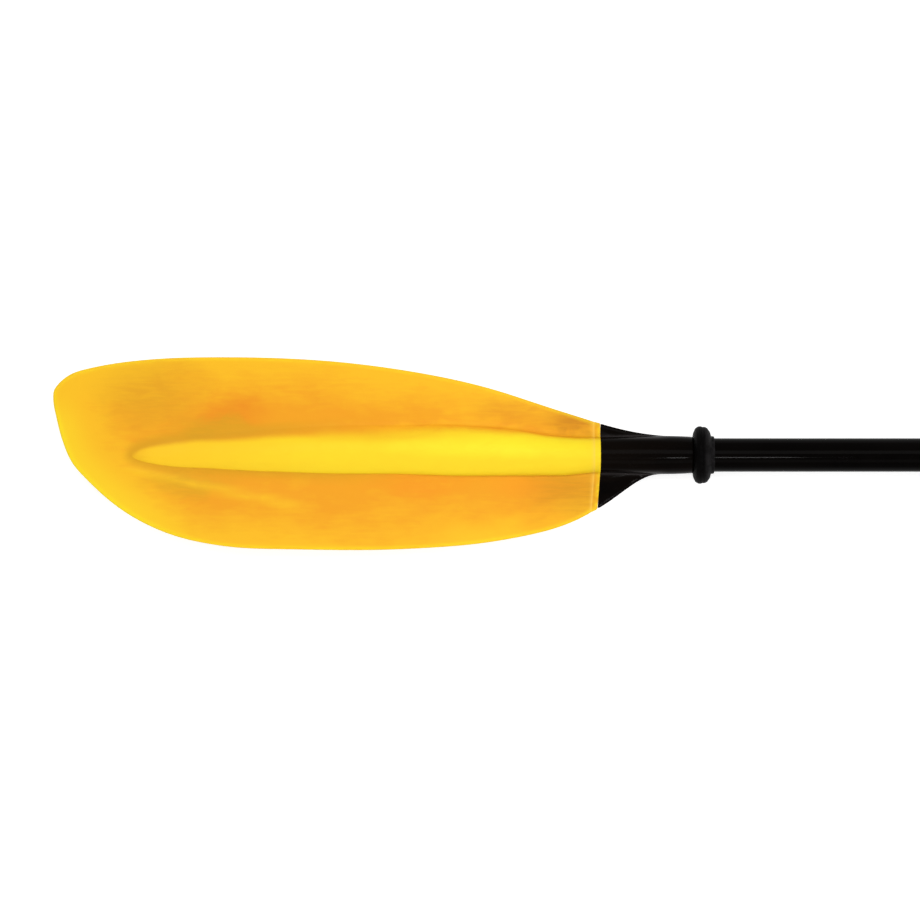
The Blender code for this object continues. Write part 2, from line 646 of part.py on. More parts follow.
def add_wear_plate(axis):
    low = (BOLT_X - PLATE_LENGTH / 2, BOLT_OFFSET - PLATE_DEPTH / 2, PLATE_BOTTOM)
    high = (BOLT_X + PLATE_LENGTH / 2, BOLT_OFFSET + PLATE_DEPTH / 2, PLATE_BOTTOM + PLATE_THICKNESS)
    plate = add_piece("wear_plate", box_form(low, high), "steel", axis)
    hole = add_upright_hole("plate_hole_cutter", EAR_TOP - CUT_SPARE, PIVOT_Z, axis)
    combine(plate, "DIFFERENCE", hole)


def add_barrel_nut(axis):
    form = rod_form(-LEVER_WIDTH / 2, LEVER_WIDTH / 2, BARREL_DIAMETER / 2)
    nut = add_piece("barrel_nut", form, "steel", axis, (BOLT_X, BOLT_OFFSET, PIVOT_Z))
    hole = add_upright_hole("nut_hole_cutter", PIVOT_Z - BARREL_DIAMETER, PIVOT_Z + BARREL_DIAMETER, axis)
    combine(nut, "DIFFERENCE", hole)


def lever_arm_form():
    # Arm that leaves the cam and wraps round the collar, drawn across the shaft and extruded along it.
    pivot_reach = math.hypot(BOLT_OFFSET, PIVOT_Z)
    pivot_angle = math.degrees(math.atan2(PIVOT_Z, BOLT_OFFSET))
    wrap_reach = COLLAR_RADIUS + LEVER_CLEAR + LEVER_THICKNESS / 2
    inner, outer = [], []
    for i in range(ARM_STEPS + 1):
        angle = pivot_angle + (LEVER_WRAP - pivot_angle) * i / ARM_STEPS
        settled = smooth_step((angle - pivot_angle) / LEVER_SWEEP)
        flick = LEVER_FLICK * smooth_step((angle - LEVER_WRAP + LEVER_FLICK_ANGLE) / LEVER_FLICK_ANGLE)
        reach = pivot_reach + (wrap_reach - pivot_reach) * settled + flick
        half = (LEVER_ROOT_THICKNESS + (LEVER_THICKNESS - LEVER_ROOT_THICKNESS) * settled) / 2
        turn = Vector((0, math.cos(math.radians(angle)), math.sin(math.radians(angle))))
        inner.append(turn * (reach - half))
        outer.append(turn * (reach + half))
    form = bmesh.new()
    pivot = Vector((LEVER_WIDTH / 2, BOLT_OFFSET, PIVOT_Z))
    face = form.faces.new([form.verts.new(point - pivot) for point in outer + inner[::-1]])
    pushed = bmesh.ops.extrude_face_region(form, geom=[face])["geom"]
    moved = [item for item in pushed if isinstance(item, bmesh.types.BMVert)]
    bmesh.ops.translate(form, vec=(LEVER_WIDTH, 0, 0), verts=moved)
    long_edges = [edge for edge in form.edges if abs(edge.verts[0].co.x - edge.verts[1].co.x) < LEVER_EDGE]
    bmesh.ops.bevel(form, geom=long_edges, offset=LEVER_EDGE, segments=1, profile=0.5, affect="EDGES",
                    clamp_overlap=True)
    return form


def add_lever(pivot):
    # The cam is an eccentric disc, so the lever presses hardest on the plate when it is shut.
    lever = add_piece("clamp_lever", lever_arm_form(), "grey_plastic", pivot)
    cam = rod_form(-LEVER_WIDTH / 2, LEVER_WIDTH / 2, CAM_RADIUS)
    bmesh.ops.translate(cam, vec=(0, 0, -CAM_THROW), verts=cam.verts)
    combine(lever, "UNION", add_tool("cam_disc", cam, pivot))
    half_slot = BOLT_DIAMETER / 2 + LEVER_SLOT_CLEAR
    slot_back = math.hypot(BOLT_PAST_NUT, BOLT_DIAMETER / 2) + FIT_GAP
    cam_room = CAM_RADIUS + CAM_THROW + CUT_SPARE
    slot = box_form((-half_slot, -slot_back, -cam_room), (half_slot, cam_room, cam_room))
    combine(lever, "DIFFERENCE", add_tool("lever_slot_cutter", slot, pivot))
    pin_hole = rod_form(-LEVER_WIDTH, LEVER_WIDTH, BARREL_DIAMETER / 2 + FIT_GAP)
    combine(lever, "DIFFERENCE", add_tool("lever_pin_cutter", pin_hole, pivot))


def build_paddle():
    clear_scene()
    shaft_axis = add_empty("shaft_axis", location=(0, 0, RING_RADIUS))
    feather_axis = add_empty("feather_axis", shaft_axis)
    lever_pivot = add_empty("lever_pivot", shaft_axis, (BOLT_X, BOLT_OFFSET, PIVOT_Z))
    add_half("left", shaft_axis)
    add_left_tube(shaft_axis)
    add_collar(shaft_axis)
    add_bolt(shaft_axis)
    add_wear_plate(shaft_axis)
    add_barrel_nut(shaft_axis)
    add_lever(lever_pivot)
    add_half("right", feather_axis)
    add_right_tube(feather_axis)
    add_tip_plug(feather_axis, shaft_axis)


build_paddle()
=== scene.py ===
# Looks of the two-piece kayak paddle: fine surfaces, finishes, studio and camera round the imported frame.
import math

import bmesh
import bpy
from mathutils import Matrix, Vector
from mathutils.bvhtree import BVHTree
from mathutils.kdtree import KDTree


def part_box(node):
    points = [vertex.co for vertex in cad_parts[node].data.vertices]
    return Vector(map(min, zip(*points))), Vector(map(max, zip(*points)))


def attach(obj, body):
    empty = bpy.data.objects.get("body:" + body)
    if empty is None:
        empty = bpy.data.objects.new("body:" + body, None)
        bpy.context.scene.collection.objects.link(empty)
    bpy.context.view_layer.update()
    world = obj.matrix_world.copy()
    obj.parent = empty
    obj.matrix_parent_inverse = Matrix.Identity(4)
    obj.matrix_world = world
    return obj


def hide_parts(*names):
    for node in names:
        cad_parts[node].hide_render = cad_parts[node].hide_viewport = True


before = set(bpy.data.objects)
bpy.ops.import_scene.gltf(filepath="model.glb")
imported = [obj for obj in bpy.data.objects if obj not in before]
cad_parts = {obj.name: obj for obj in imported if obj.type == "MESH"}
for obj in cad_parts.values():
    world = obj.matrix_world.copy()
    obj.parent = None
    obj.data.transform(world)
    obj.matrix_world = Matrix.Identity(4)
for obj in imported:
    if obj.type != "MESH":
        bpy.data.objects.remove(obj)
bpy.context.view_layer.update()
print("frame loaded:", len(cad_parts), "nodes")

# measures that the frame gives: the shaft's axis and radius, the blade's ends and the seam with the throat
shaftLow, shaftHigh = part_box("left_shaft")
axisHeight = (shaftLow.z + shaftHigh.z) / 2
shaftRadius = (shaftHigh.y - shaftLow.y) / 2
bladeLow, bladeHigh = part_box("left_blade")
tipX = -bladeLow.x
seamX = -bladeHigh.x
upward = (0, 0, 1)

sides = {"left": {"sign": -1, "body": "root", "ring": "left_ring"},
        "right": {"sign": 1, "body": "right_half", "ring": "right_ring"}}

meshing = {
    "mergeDistance": 1e-5,
    "joinAngle": math.radians(50),
    "sharpAngle": math.radians(36),
    "flatAngle": math.radians(0.5),
    "turnSteps": 96,
}


# mesh helpers

def copyOfNode(name, joinQuads=False):
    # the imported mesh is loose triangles, so a copy is merged before anything else
    form = bmesh.new()
    form.from_mesh(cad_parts[name].data)
    bmesh.ops.remove_doubles(form, verts=form.verts, dist=meshing["mergeDistance"])
    if joinQuads:
        bmesh.ops.join_triangles(form, faces=form.faces, angle_face_threshold=meshing["joinAngle"],
                angle_shape_threshold=meshing["joinAngle"])
    else:
        bmesh.ops.dissolve_limit(form, angle_limit=meshing["flatAngle"], verts=form.verts, edges=form.edges)
    form.normal_update()
    return form


def turned(profile, centre=(0, 0, 0), axis=(1, 0, 0), steps=None, rounding=0.0, segments=4, closed=True):
    # spins a (distance along the axis, radius) profile, with its corners rounded first
    form = bmesh.new()
    along = Vector(axis)
    across = along.orthogonal().normalized()
    corners = [form.verts.new(Vector(centre) + along * place + across * radius) for place, radius in profile]
    ends = corners[1:] + corners[:1] if closed else corners[1:]
    for start, end in zip(corners, ends):
        form.edges.new((start, end))
    if rounding:
        kept = corners if closed else corners[1:-1]
        bmesh.ops.bevel(form, geom=kept, offset=rounding, segments=segments, profile=0.5,
                affect="VERTICES", material=-1)
    bmesh.ops.spin(form, geom=list(form.verts) + list(form.edges), axis=along, cent=centre,
            angle=math.tau, steps=steps or meshing["turnSteps"], use_merge=True)
    bmesh.ops.remove_doubles(form, verts=form.verts, dist=meshing["mergeDistance"])
    bmesh.ops.recalc_face_normals(form, faces=form.faces)
    return form


def rod(start, end, radius, **options):
    # solid round bar from one place on its axis to another
    return turned([(start, 0), (start, radius), (end, radius), (end, 0)], closed=False, **options)


def boxForm(low, high, rounding=0.0, segments=3):
    form = bmesh.new()
    bmesh.ops.create_cube(form, size=1.0)
    size = Vector(high) - Vector(low)
    bmesh.ops.scale(form, vec=size, verts=form.verts)
    bmesh.ops.translate(form, vec=(Vector(low) + Vector(high)) / 2, verts=form.verts)
    if rounding:
        bmesh.ops.bevel(form, geom=list(form.edges), offset=rounding, segments=segments, profile=0.5,
                affect="EDGES", material=-1)
    return form


def addItem(name, data):
    item = bpy.data.objects.new(name, data)
    bpy.context.scene.collection.objects.link(item)
    return item


def linkForm(name, form):
    mesh = bpy.data.meshes.new(name)
    form.to_mesh(mesh)
    form.free()
    return addItem(name, mesh)


def applyModifiers(item):
    graph = bpy.context.evaluated_depsgraph_get()
    graph.update()
    mesh = bpy.data.meshes.new_from_object(item.evaluated_get(graph), depsgraph=graph)
    item.modifiers.clear()
    item.data = mesh
    mesh.name = item.name


def cutWith(item, form, operation="DIFFERENCE"):
    # one exact Boolean, applied at once, and its tool is taken away
    tool = linkForm("shapingTool", form)
    step = item.modifiers.new("cut", "BOOLEAN")
    step.solver = "EXACT"
    step.operation = operation
    step.object = tool
    applyModifiers(item)
    bpy.data.objects.remove(tool, do_unlink=True)


def softenEdges(item, width, segments=2, angle=40):
    step = item.modifiers.new("edges", "BEVEL")
    step.width = width
    step.segments = segments
    step.limit_method = "ANGLE"
    step.angle_limit = math.radians(angle)
    step.use_clamp_overlap = True
    applyModifiers(item)


def subdivide(item, levels):
    step = item.modifiers.new("smooth", "SUBSURF")
    step.levels = levels
    step.render_levels = levels
    applyModifiers(item)


def dress(item, material, body, slotName, *nodes):
    # shading, finish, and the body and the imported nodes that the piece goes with
    item.data.materials.clear()
    item.data.materials.append(material)
    item.data.shade_smooth()
    item.data.set_sharp_from_angle(angle=meshing["sharpAngle"])
    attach(item, body)
    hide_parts(*nodes)
    return item


def easeIn(value, low, high):
    share = min(max((value - low) / (high - low), 0.0), 1.0)
    return share * share * (3 - 2 * share)


# shader helpers

def addNode(tree, kind, inputs=None, **options):
    # options are the node's own settings. inputs are values, or sockets to join
    node = tree.nodes.new("ShaderNode" + kind)
    for key, value in options.items():
        setattr(node, key, value)
    for key, value in (inputs or {}).items():
        if isinstance(value, bpy.types.NodeSocket):
            tree.links.new(value, node.inputs[key])
        else:
            node.inputs[key].default_value = value
    return node


def calc(operation, first, second=0.0, clamp=False):
    tree = (first if isinstance(first, bpy.types.NodeSocket) else second).id_data
    return addNode(tree, "Math", {0: first, 1: second}, operation=operation, use_clamp=clamp).outputs[0]


def plus(first, second, clamp=False):
    return calc("ADD", first, second, clamp)


def minus(first, second):
    return calc("SUBTRACT", first, second)


def times(first, second):
    return calc("MULTIPLY", first, second)


def vectorCalc(operation, first, second=(0, 0, 0)):
    return addNode(first.id_data, "VectorMath", {0: first, 1: second}, operation=operation).outputs


def remap(value, low, high, toLow=0.0, toHigh=1.0, curve="SMOOTHSTEP"):
    runs = {"Value": value, "From Min": low, "From Max": high, "To Min": toLow, "To Max": toHigh}
    return addNode(value.id_data, "MapRange", runs, interpolation_type=curve).outputs["Result"]


def blendColours(share, first, second):
    return addNode(share.id_data, "Mix", {0: share, 6: first, 7: second}, data_type="RGBA").outputs[2]


def addNoise(place, scale, detail, **more):
    inputs = {"Vector": place, "Scale": scale, "Detail": detail, **more}
    return addNode(place.id_data, "TexNoise", inputs).outputs[0]


def readPlace(tree):
    return addNode(tree, "TexCoord").outputs["Object"]


def readMark(tree, name):
    return addNode(tree, "Attribute", attribute_name=name, attribute_type="GEOMETRY").outputs["Fac"]


def startGroup(name, outputs, **defaults):
    # each group takes the place and some numbers, and puts out numbers
    group = bpy.data.node_groups.new(name, "ShaderNodeTree")
    group.interface.new_socket(name="Place", in_out="INPUT", socket_type="NodeSocketVector")
    for key, value in defaults.items():
        socket = group.interface.new_socket(name=key, in_out="INPUT", socket_type="NodeSocketFloat")
        socket.default_value = value
    for key in outputs:
        group.interface.new_socket(name=key, in_out="OUTPUT", socket_type="NodeSocketFloat")
    return group, group.nodes.new("NodeGroupInput").outputs, group.nodes.new("NodeGroupOutput").inputs


def useGroup(group, place, **inputs):
    return addNode(place.id_data, "Group", {"Place": place, **inputs}, node_tree=group).outputs


def makeFlowGroup():
    # cloudy streaks that a melt leaves as it fills a mould, drawn out along the paddle
    group, given, out = startGroup("mouldFlow", ("Mask",), Scale=20.0, Stretch=0.4, Softness=0.25)
    stretch = addNode(group, "CombineXYZ", {0: given["Stretch"], 1: 1.0, 2: 1.0}).outputs[0]
    place = vectorCalc("MULTIPLY", given["Place"], stretch)[0]
    cloud = addNoise(place, given["Scale"], 4.0, Roughness=0.55, Distortion=0.6)
    low, high = minus(0.5, given["Softness"]), plus(0.5, given["Softness"])
    group.links.new(remap(cloud, low, high), out["Mask"])
    return group


def makeGrainGroup():
    # pebbled grain of a spark-eroded mould
    pebbleShare, maskRun = 0.6, (0.35, 0.7)
    group, given, out = startGroup("mouldGrain", ("Height", "Mask"), Scale=900.0)
    pebbles = addNode(group, "TexVoronoi", {"Vector": given["Place"], "Scale": given["Scale"]},
            feature="SMOOTH_F1").outputs["Distance"]
    dust = addNoise(given["Place"], given["Scale"], 3.0, Roughness=0.6)
    height = plus(times(pebbles, pebbleShare), times(dust, 1 - pebbleShare))
    group.links.new(height, out["Height"])
    group.links.new(remap(dust, *maskRun), out["Mask"])
    return group


def makeScratchGroup():
    # hair scratches from use: thin lines in two directions, only in scattered patches
    directions = ((1.0, (0.5, 14.0, 14.0)), (-0.6, (0.5, 22.0, 22.0)))    # share of the turn, and the squeeze
    lineRun, patchRun, patchSize = (0.012, 0.0), (0.52, 0.68), 0.7
    group, given, out = startGroup("hairScratches", ("Mask",), Scale=60.0, Turn=0.4, Amount=0.5)
    masks = []
    for lean, squeeze in directions:
        turn = addNode(group, "VectorRotate", {"Vector": given["Place"], "Angle": times(given["Turn"], lean)},
                rotation_type="Z_AXIS")
        thin = vectorCalc("MULTIPLY", turn.outputs[0], squeeze)[0]
        wander = addNoise(thin, given["Scale"], 1.0, Distortion=0.3)
        masks.append(remap(calc("ABSOLUTE", minus(wander, 0.5)), *lineRun))
    patches = addNoise(given["Place"], times(given["Scale"], patchSize), 2.0)
    lines = times(calc("MAXIMUM", *masks), remap(patches, *patchRun))
    group.links.new(times(lines, given["Amount"]), out["Mask"])
    return group


def makeDustGroup():
    # fine dust that settles on what faces up
    facingRun, speckRun = (0.1, 0.9), (0.5, 0.8)
    group, given, out = startGroup("settledDust", ("Mask",), Scale=300.0, Amount=0.2)
    normal = addNode(group, "NewGeometry").outputs["Normal"]
    facing = addNode(group, "SeparateXYZ", {0: normal}).outputs[2]
    specks = addNoise(given["Place"], given["Scale"], 5.0, Roughness=0.75)
    dust = times(remap(facing, *facingRun), remap(specks, *speckRun))
    group.links.new(times(dust, given["Amount"]), out["Mask"])
    return group


flowGroup = makeFlowGroup()
grainGroup = makeGrainGroup()
scratchGroup = makeScratchGroup()
dustGroup = makeDustGroup()
print("shader groups made")


def flowMask(place, scale, stretch, softness):
    return useGroup(flowGroup, place, Scale=scale, Stretch=stretch, Softness=softness)["Mask"]


def scratchMask(place, scale, turn, amount):
    return useGroup(scratchGroup, place, Scale=scale, Turn=turn, Amount=amount)["Mask"]


def dustMask(place, scale, amount):
    return useGroup(dustGroup, place, Scale=scale, Amount=amount)["Mask"]


def startMaterial(name, **shaderValues):
    material = bpy.data.materials.new(name)
    material.use_nodes = True
    tree = material.node_tree
    shader = tree.nodes["Principled BSDF"]
    for key, value in shaderValues.items():
        shader.inputs[key.replace("_", " ")].default_value = value
    return material, tree, shader


def setShader(tree, shader, colour, roughness, height, depth):
    tree.links.new(colour, shader.inputs["Base Color"])
    tree.links.new(roughness, shader.inputs["Roughness"])
    bump = addNode(tree, "Bump", {"Height": height, "Distance": depth, "Strength": 1.0})
    tree.links.new(bump.outputs[0], shader.inputs["Normal"])


def wornRoughness(mask, scratches, low, high, scratched):
    return plus(remap(mask, 0.0, 1.0, low, high), times(scratches, scratched))


def wornHeight(relief, scratches, rise, depth):
    return minus(times(relief, rise), times(scratches, depth))


def makeGloss(name, look):
    # smooth black, stained by its flow, with dust and scratches, and a painted highlight along marked fillets
    # where the look says so
    material, tree, shader = startMaterial(name, Specular_IOR_Level=look["specular"])
    place = readPlace(tree)
    flow = flowMask(place, *look["flow"])
    scratches = scratchMask(place, *look["scratches"])
    if "grindScale" in look:
        relief = addNoise(place, look["grindScale"], 2.0)
    else:
        relief = useGroup(grainGroup, place, Scale=look["grainScale"])["Height"]
    colour = blendColours(flow, look["colour"], look["stainColour"])
    colour = blendColours(dustMask(place, *look["dust"]), colour, look["dustColour"])
    if "creaseHighlightColour" in look:
        # painted highlight along the neck's fillets, broken up by the flow
        wear = times(readMark(tree, "creaseHighlight"), remap(flow, *look["creaseHighlightRun"]))
        colour = blendColours(wear, colour, look["creaseHighlightColour"])
    rough = wornRoughness(flow, scratches, *look["roughness"])
    setShader(tree, shader, colour, rough, wornHeight(relief, scratches, *look["relief"]), look["bumpDepth"])
    return material


def makeMatt(name, look):
    # grained plastic or rubber, paler on a marked side, with dust and scratches where the look has them
    material, tree, shader = startMaterial(name, Specular_IOR_Level=look["specular"])
    place = readPlace(tree)
    grain = useGroup(grainGroup, place, Scale=look["grainScale"])
    height = grain["Height"]
    flow = flowMask(place, *look["flow"])
    colour = blendColours(times(flow, look["wornShare"]), look["colour"], look["wornColour"])
    if "hubSidePaleColour" in look:
        # paler on the marked side, broken up by the flow
        hubSidePale = times(readMark(tree, "hubSidePale"), remap(flow, *look["hubSidePaleRun"]))
        colour = blendColours(hubSidePale, colour, look["hubSidePaleColour"])
        colour = blendColours(dustMask(place, *look["dust"]), colour, look["dustColour"])
    if "scratches" in look:
        scratches = scratchMask(place, *look["scratches"])
        colour = blendColours(times(scratches, look["scratchShare"]), colour, look["wornColour"])
        height = minus(height, times(scratches, look["scratchDepth"]))
    rough = remap(grain["Mask"], 0.0, 1.0, *look["roughness"])
    setShader(tree, shader, colour, rough, height, look["bumpDepth"])
    return material


# the blades' yellow moulded plastic. a run is a value's start and end, then the shares there if not 0 and 1

bladePaint = {
    # the wings go from the rim's colour to the inner one, deeper to the root and paler to the tip. the
    # paleness at the thin rim and tip is partly the plastic's tone and partly painted light that the thin
    # plastic lets through
    "rim": (0.885, 0.468, 0.0160, 1),
    "inner": (0.822, 0.335, 0.0145, 1),
    "innerReach": 0.048,
    "rootFrom": 0.30,
    "rootDepth": 0.30,
    "tipRun": (0.15, 0.03, 0.0, 0.60),
    # the melt's flow as scale, stretch and softness, and how strongly it shows
    "clouds": (20.0, 0.6, 0.17),
    "blotches": (90.0, 0.55, 0.24),
    "streaks": (330.0, 0.14, 0.22),
    "drift": (34.0, 0.8, 0.3),
    "cloudShare": 0.6,
    "mottle": 0.62,
    "streakMottle": 0.26,
    "markWander": 0.014,
    "markStreak": 0.7,
    # the bright end, painted light that the thin plastic lets through
    "endYellow": (0.905, 0.660, 0.0190, 1),
    "endRun": (0.032, 0.001, 0.0, 0.62),
    "endEdgeRun": (0.007, 0.0, 0.0, 0.45),
    "endTipRun": (0.16, 0.05),
    "endAcrossRun": (0.064, 0.020, 0.2, 1.0),
    "endShare": 0.95,
    # the bright band round the rim, painted light that the thin edge lets through
    "bandYellow": (0.930, 0.680, 0.0160, 1),
    "bandRun": (0.0050, 0.0005),
    "bandAcrossRun": (0.03, -0.03, 0.55, 0.7),
    "bandStreakRun": (0.0, 1.0, 0.55, 1.0),
    # painted shade along the rib's foot, stronger towards the nose and the root, and more on the short side
    "footShade": (0.610, 0.310, 0.0120, 1),
    "footLong": ((0.30, 0.15, 0.0, 0.65), (0.43, 0.48, 0.0, 0.45)),
    "footShort": ((0.34, 0.22, 0.05, 0.66), (0.39, 0.45, 0.05, 0.42)),
    # painted light along the low fold below the rib's nose
    "foldPaintedLight": (0.905, 0.540, 0.0190, 1),
    "foldRun": (0.0, 1.0, 0.45, 0.75),
    "hemPale": (0.930, 0.600, 0.1000, 1),
    "hemShare": 0.6,
    # the rib, whose colour comes in with its height
    "ribNose": (0.905, 0.540, 0.0185, 1),
    "ribRoot": (0.905, 0.655, 0.0205, 1),
    "ribPaintedSheen": (0.925, 0.800, 0.0260, 1),
    "ribAlongRun": (0.05, 0.28),
    "ribLongRun": (0.14, 0.64),
    "ribShortRun": (0.0, 0.20),
    "ribNoseRun": (0.064, 0.090, 0.4, 1.0),
    "ribWander": 0.12,
    "ribBlotch": 0.2,
    "sideRun": (-0.004, 0.004),
    # how a patch comes in from its reach to its middle
    "patchRun": (1.0, 0.15),
    # soft patches of the rib, one that thins its colour and one a painted sheen, a painted highlight: from
    # the tip and across, reach along and across, share
    "softRise": ((0.280, 0.0205), (0.105, 0.0120), 0.42),
    "paintedSheen": ((0.395, 0.008), (0.130, 0.015), 0.7),
    # the surface: scratches as scale, turn and amount
    "specular": 0.07,
    "grainScale": 1500.0,
    "scratches": (40.0, 0.5, 0.8),
    "scratchShare": 0.12,
    "roughness": (0.42, 0.52, 0.2),    # least, most, and what scratches add
    "grainRise": 0.25,
    "relief": (0.5, 0.4),    # rise of the blotches, depth of the scratches
    "bumpDepth": 0.00010,
    # colour patches, some of them painted shade beside the rib's nose and one painted light over the foot of
    # the rib's long side: from the tip, across, reach along, reach across, colour, strength
    "patchesAndPaintedLight": (
        (0.086, 0.054, 0.066, 0.046, (0.700, 0.325, 0.0145, 1), 0.72),
        (0.158, 0.036, 0.046, 0.021, (0.780, 0.255, 0.0130, 1), 0.85),
        (0.300, 0.032, 0.070, 0.020, (0.810, 0.325, 0.0140, 1), 0.75),
        (0.322, -0.026, 0.060, 0.016, (0.840, 0.295, 0.0140, 1), 0.75),
        (0.440, -0.028, 0.060, 0.022, (0.860, 0.300, 0.0140, 1), 0.75),
        (0.470, 0.030, 0.052, 0.016, (0.570, 0.222, 0.0120, 1), 0.95),
        (0.464, -0.032, 0.062, 0.037, (0.620, 0.272, 0.0130, 1), 0.88),
        (0.405, 0.038, 0.050, 0.018, (0.720, 0.285, 0.0140, 1), 0.70),
        # painted shade below the rib's nose
        (0.118, -0.024, 0.055, 0.018, (0.620, 0.330, 0.0140, 1), 0.65),
        # painted shade above the rib's nose
        (0.142, 0.024, 0.050, 0.015, (0.600, 0.315, 0.0135, 1), 0.65),
        (0.385, -0.072, 0.080, 0.026, (0.905, 0.545, 0.0180, 1), 0.60),
        # painted light, lifting the shade in the foot of the rib's long side
        (0.322, 0.0262, 0.062, 0.0070, (0.890, 0.425, 0.0150, 1), 0.80),
    ),
}


def spotShare(spot, centre, reach):
    # soft share of a patch round a place on the blade
    offset = vectorCalc("SUBTRACT", spot, (*centre, 0))[0]
    away = vectorCalc("LENGTH", vectorCalc("DIVIDE", offset, (*reach, 1))[0])["Value"]
    return remap(away, *bladePaint["patchRun"])


def softPatch(spot, centre, reach, share):
    return times(spotShare(spot, centre, reach), share)


def wingColour(tree, place, spot, fromTip, across, streak, blotch):
    # paler towards the rim, partly the plastic's tone and partly painted light through the thin plastic, with
    # the melt's clouds and streaks, patches that include painted shade and light beside the rib, and a bright
    # end of painted light
    paint = bladePaint
    fromRim = readMark(tree, "fromRim")
    flow = flowMask(place, *paint["clouds"])
    inward = remap(fromRim, 0.0, paint["innerReach"], curve="LINEAR")
    cloud = plus(times(flow, paint["cloudShare"]), times(blotch, 1 - paint["cloudShare"]))
    cloud = times(minus(cloud, 0.5), paint["mottle"])
    lines = times(minus(streak, 0.5), paint["streakMottle"])
    deeper = remap(fromTip, paint["rootFrom"], tipX - seamX, 0.0, paint["rootDepth"])
    deeper = minus(deeper, remap(fromTip, *paint["tipRun"]))
    inward = plus(plus(inward, deeper), plus(cloud, lines), clamp=True)
    colour = blendColours(inward, paint["rim"], paint["inner"])
    for along, side, reachAlong, reachAcross, tint, strength in paint["patchesAndPaintedLight"]:
        mark = spotShare(spot, (along, side), (reachAlong, reachAcross))
        mark = times(mark, remap(streak, 0.0, 1.0, strength * paint["markStreak"], strength))
        colour = blendColours(mark, colour, tint)
    end = plus(remap(fromRim, *paint["endRun"]), remap(fromRim, *paint["endEdgeRun"]))
    end = times(end, remap(fromTip, *paint["endTipRun"]))
    end = times(end, remap(across, *paint["endAcrossRun"]))
    colour = blendColours(times(end, paint["endShare"]), colour, paint["endYellow"])
    # painted light along the fold's crest, broken up by the blotches
    fold = times(readMark(tree, "fold"), remap(blotch, *paint["foldRun"]))
    return blendColours(fold, colour, paint["foldPaintedLight"])


def footShare(tree, fromTip, longSide):
    # painted shade along the rib's foot, set by the foot's nearness and the side
    longShade, shortShade = (calc("MAXIMUM", remap(fromTip, *noseRun), remap(fromTip, *rootRun))
            for noseRun, rootRun in (bladePaint["footLong"], bladePaint["footShort"]))
    shade = remap(longSide, 0.0, 1.0, shortShade, longShade, curve="LINEAR")
    return times(readMark(tree, "foot"), shade)


def ribShare(tree, fromTip, longSide, plain, drifting):
    # steep on the short side, and soft and wandering on the long one
    wander = times(drifting, times(longSide, bladePaint["ribWander"]))
    rise = plus(readMark(tree, "ribRise"), wander)
    longRise, shortRise = (remap(rise, *bladePaint[key]) for key in ("ribLongRun", "ribShortRun"))
    share = remap(longSide, 0.0, 1.0, shortRise, longRise, curve="LINEAR")
    share = times(share, remap(fromTip, *bladePaint["ribNoseRun"]))
    return times(share, minus(1.0, softPatch(plain, *bladePaint["softRise"])))


def ribColour(fromTip, plain, blotch):
    along = remap(fromTip, *bladePaint["ribAlongRun"])
    colour = blendColours(along, bladePaint["ribNose"], bladePaint["ribRoot"])
    # a painted sheen: a soft painted highlight on the rib
    colour = blendColours(softPatch(plain, *bladePaint["paintedSheen"]), colour, bladePaint["ribPaintedSheen"])
    return blendColours(times(blotch, bladePaint["ribBlotch"]), colour, bladePaint["ribNose"])


def makeBladePlastic():
    paint = bladePaint
    material, tree, shader = startMaterial("bladePlastic", Specular_IOR_Level=paint["specular"])
    place = readPlace(tree)
    parts = addNode(tree, "SeparateXYZ", {0: place}).outputs
    across = parts[1]
    fromTip = minus(tipX, calc("ABSOLUTE", parts[0]))
    blotch, streak, drift = (flowMask(place, *paint[key]) for key in ("blotches", "streaks", "drift"))
    scratches = scratchMask(place, *paint["scratches"])
    grain = useGroup(grainGroup, place, Scale=paint["grainScale"])
    drifting = minus(drift, 0.5)
    wander = times(drifting, paint["markWander"])
    spot, plain = (addNode(tree, "CombineXYZ", {0: along, 1: side}).outputs[0] for along, side in (
        (plus(fromTip, wander), plus(across, wander)), (fromTip, across)))
    longSide = remap(across, *paint["sideRun"])
    colour = wingColour(tree, place, spot, fromTip, across, streak, blotch)
    # painted shade along the rib's foot
    colour = blendColours(footShare(tree, fromTip, longSide), colour, paint["footShade"])
    colour = blendColours(ribShare(tree, fromTip, longSide, plain, drifting), colour,
            ribColour(fromTip, plain, blotch))
    # painted light along the thin rim
    band = times(remap(across, *paint["bandAcrossRun"]), remap(streak, *paint["bandStreakRun"]))
    band = times(remap(readMark(tree, "fromRim"), *paint["bandRun"]), band)
    colour = blendColours(band, colour, paint["bandYellow"])
    colour = blendColours(times(readMark(tree, "hem"), paint["hemShare"]), colour, paint["hemPale"])
    colour = blendColours(times(scratches, paint["scratchShare"]), colour, paint["endYellow"])
    rough = wornRoughness(blotch, scratches, *paint["roughness"])
    height = plus(times(grain["Height"], paint["grainRise"]),
            wornHeight(blotch, scratches, *paint["relief"]))
    setShader(tree, shader, colour, rough, height, paint["bumpDepth"])
    return material


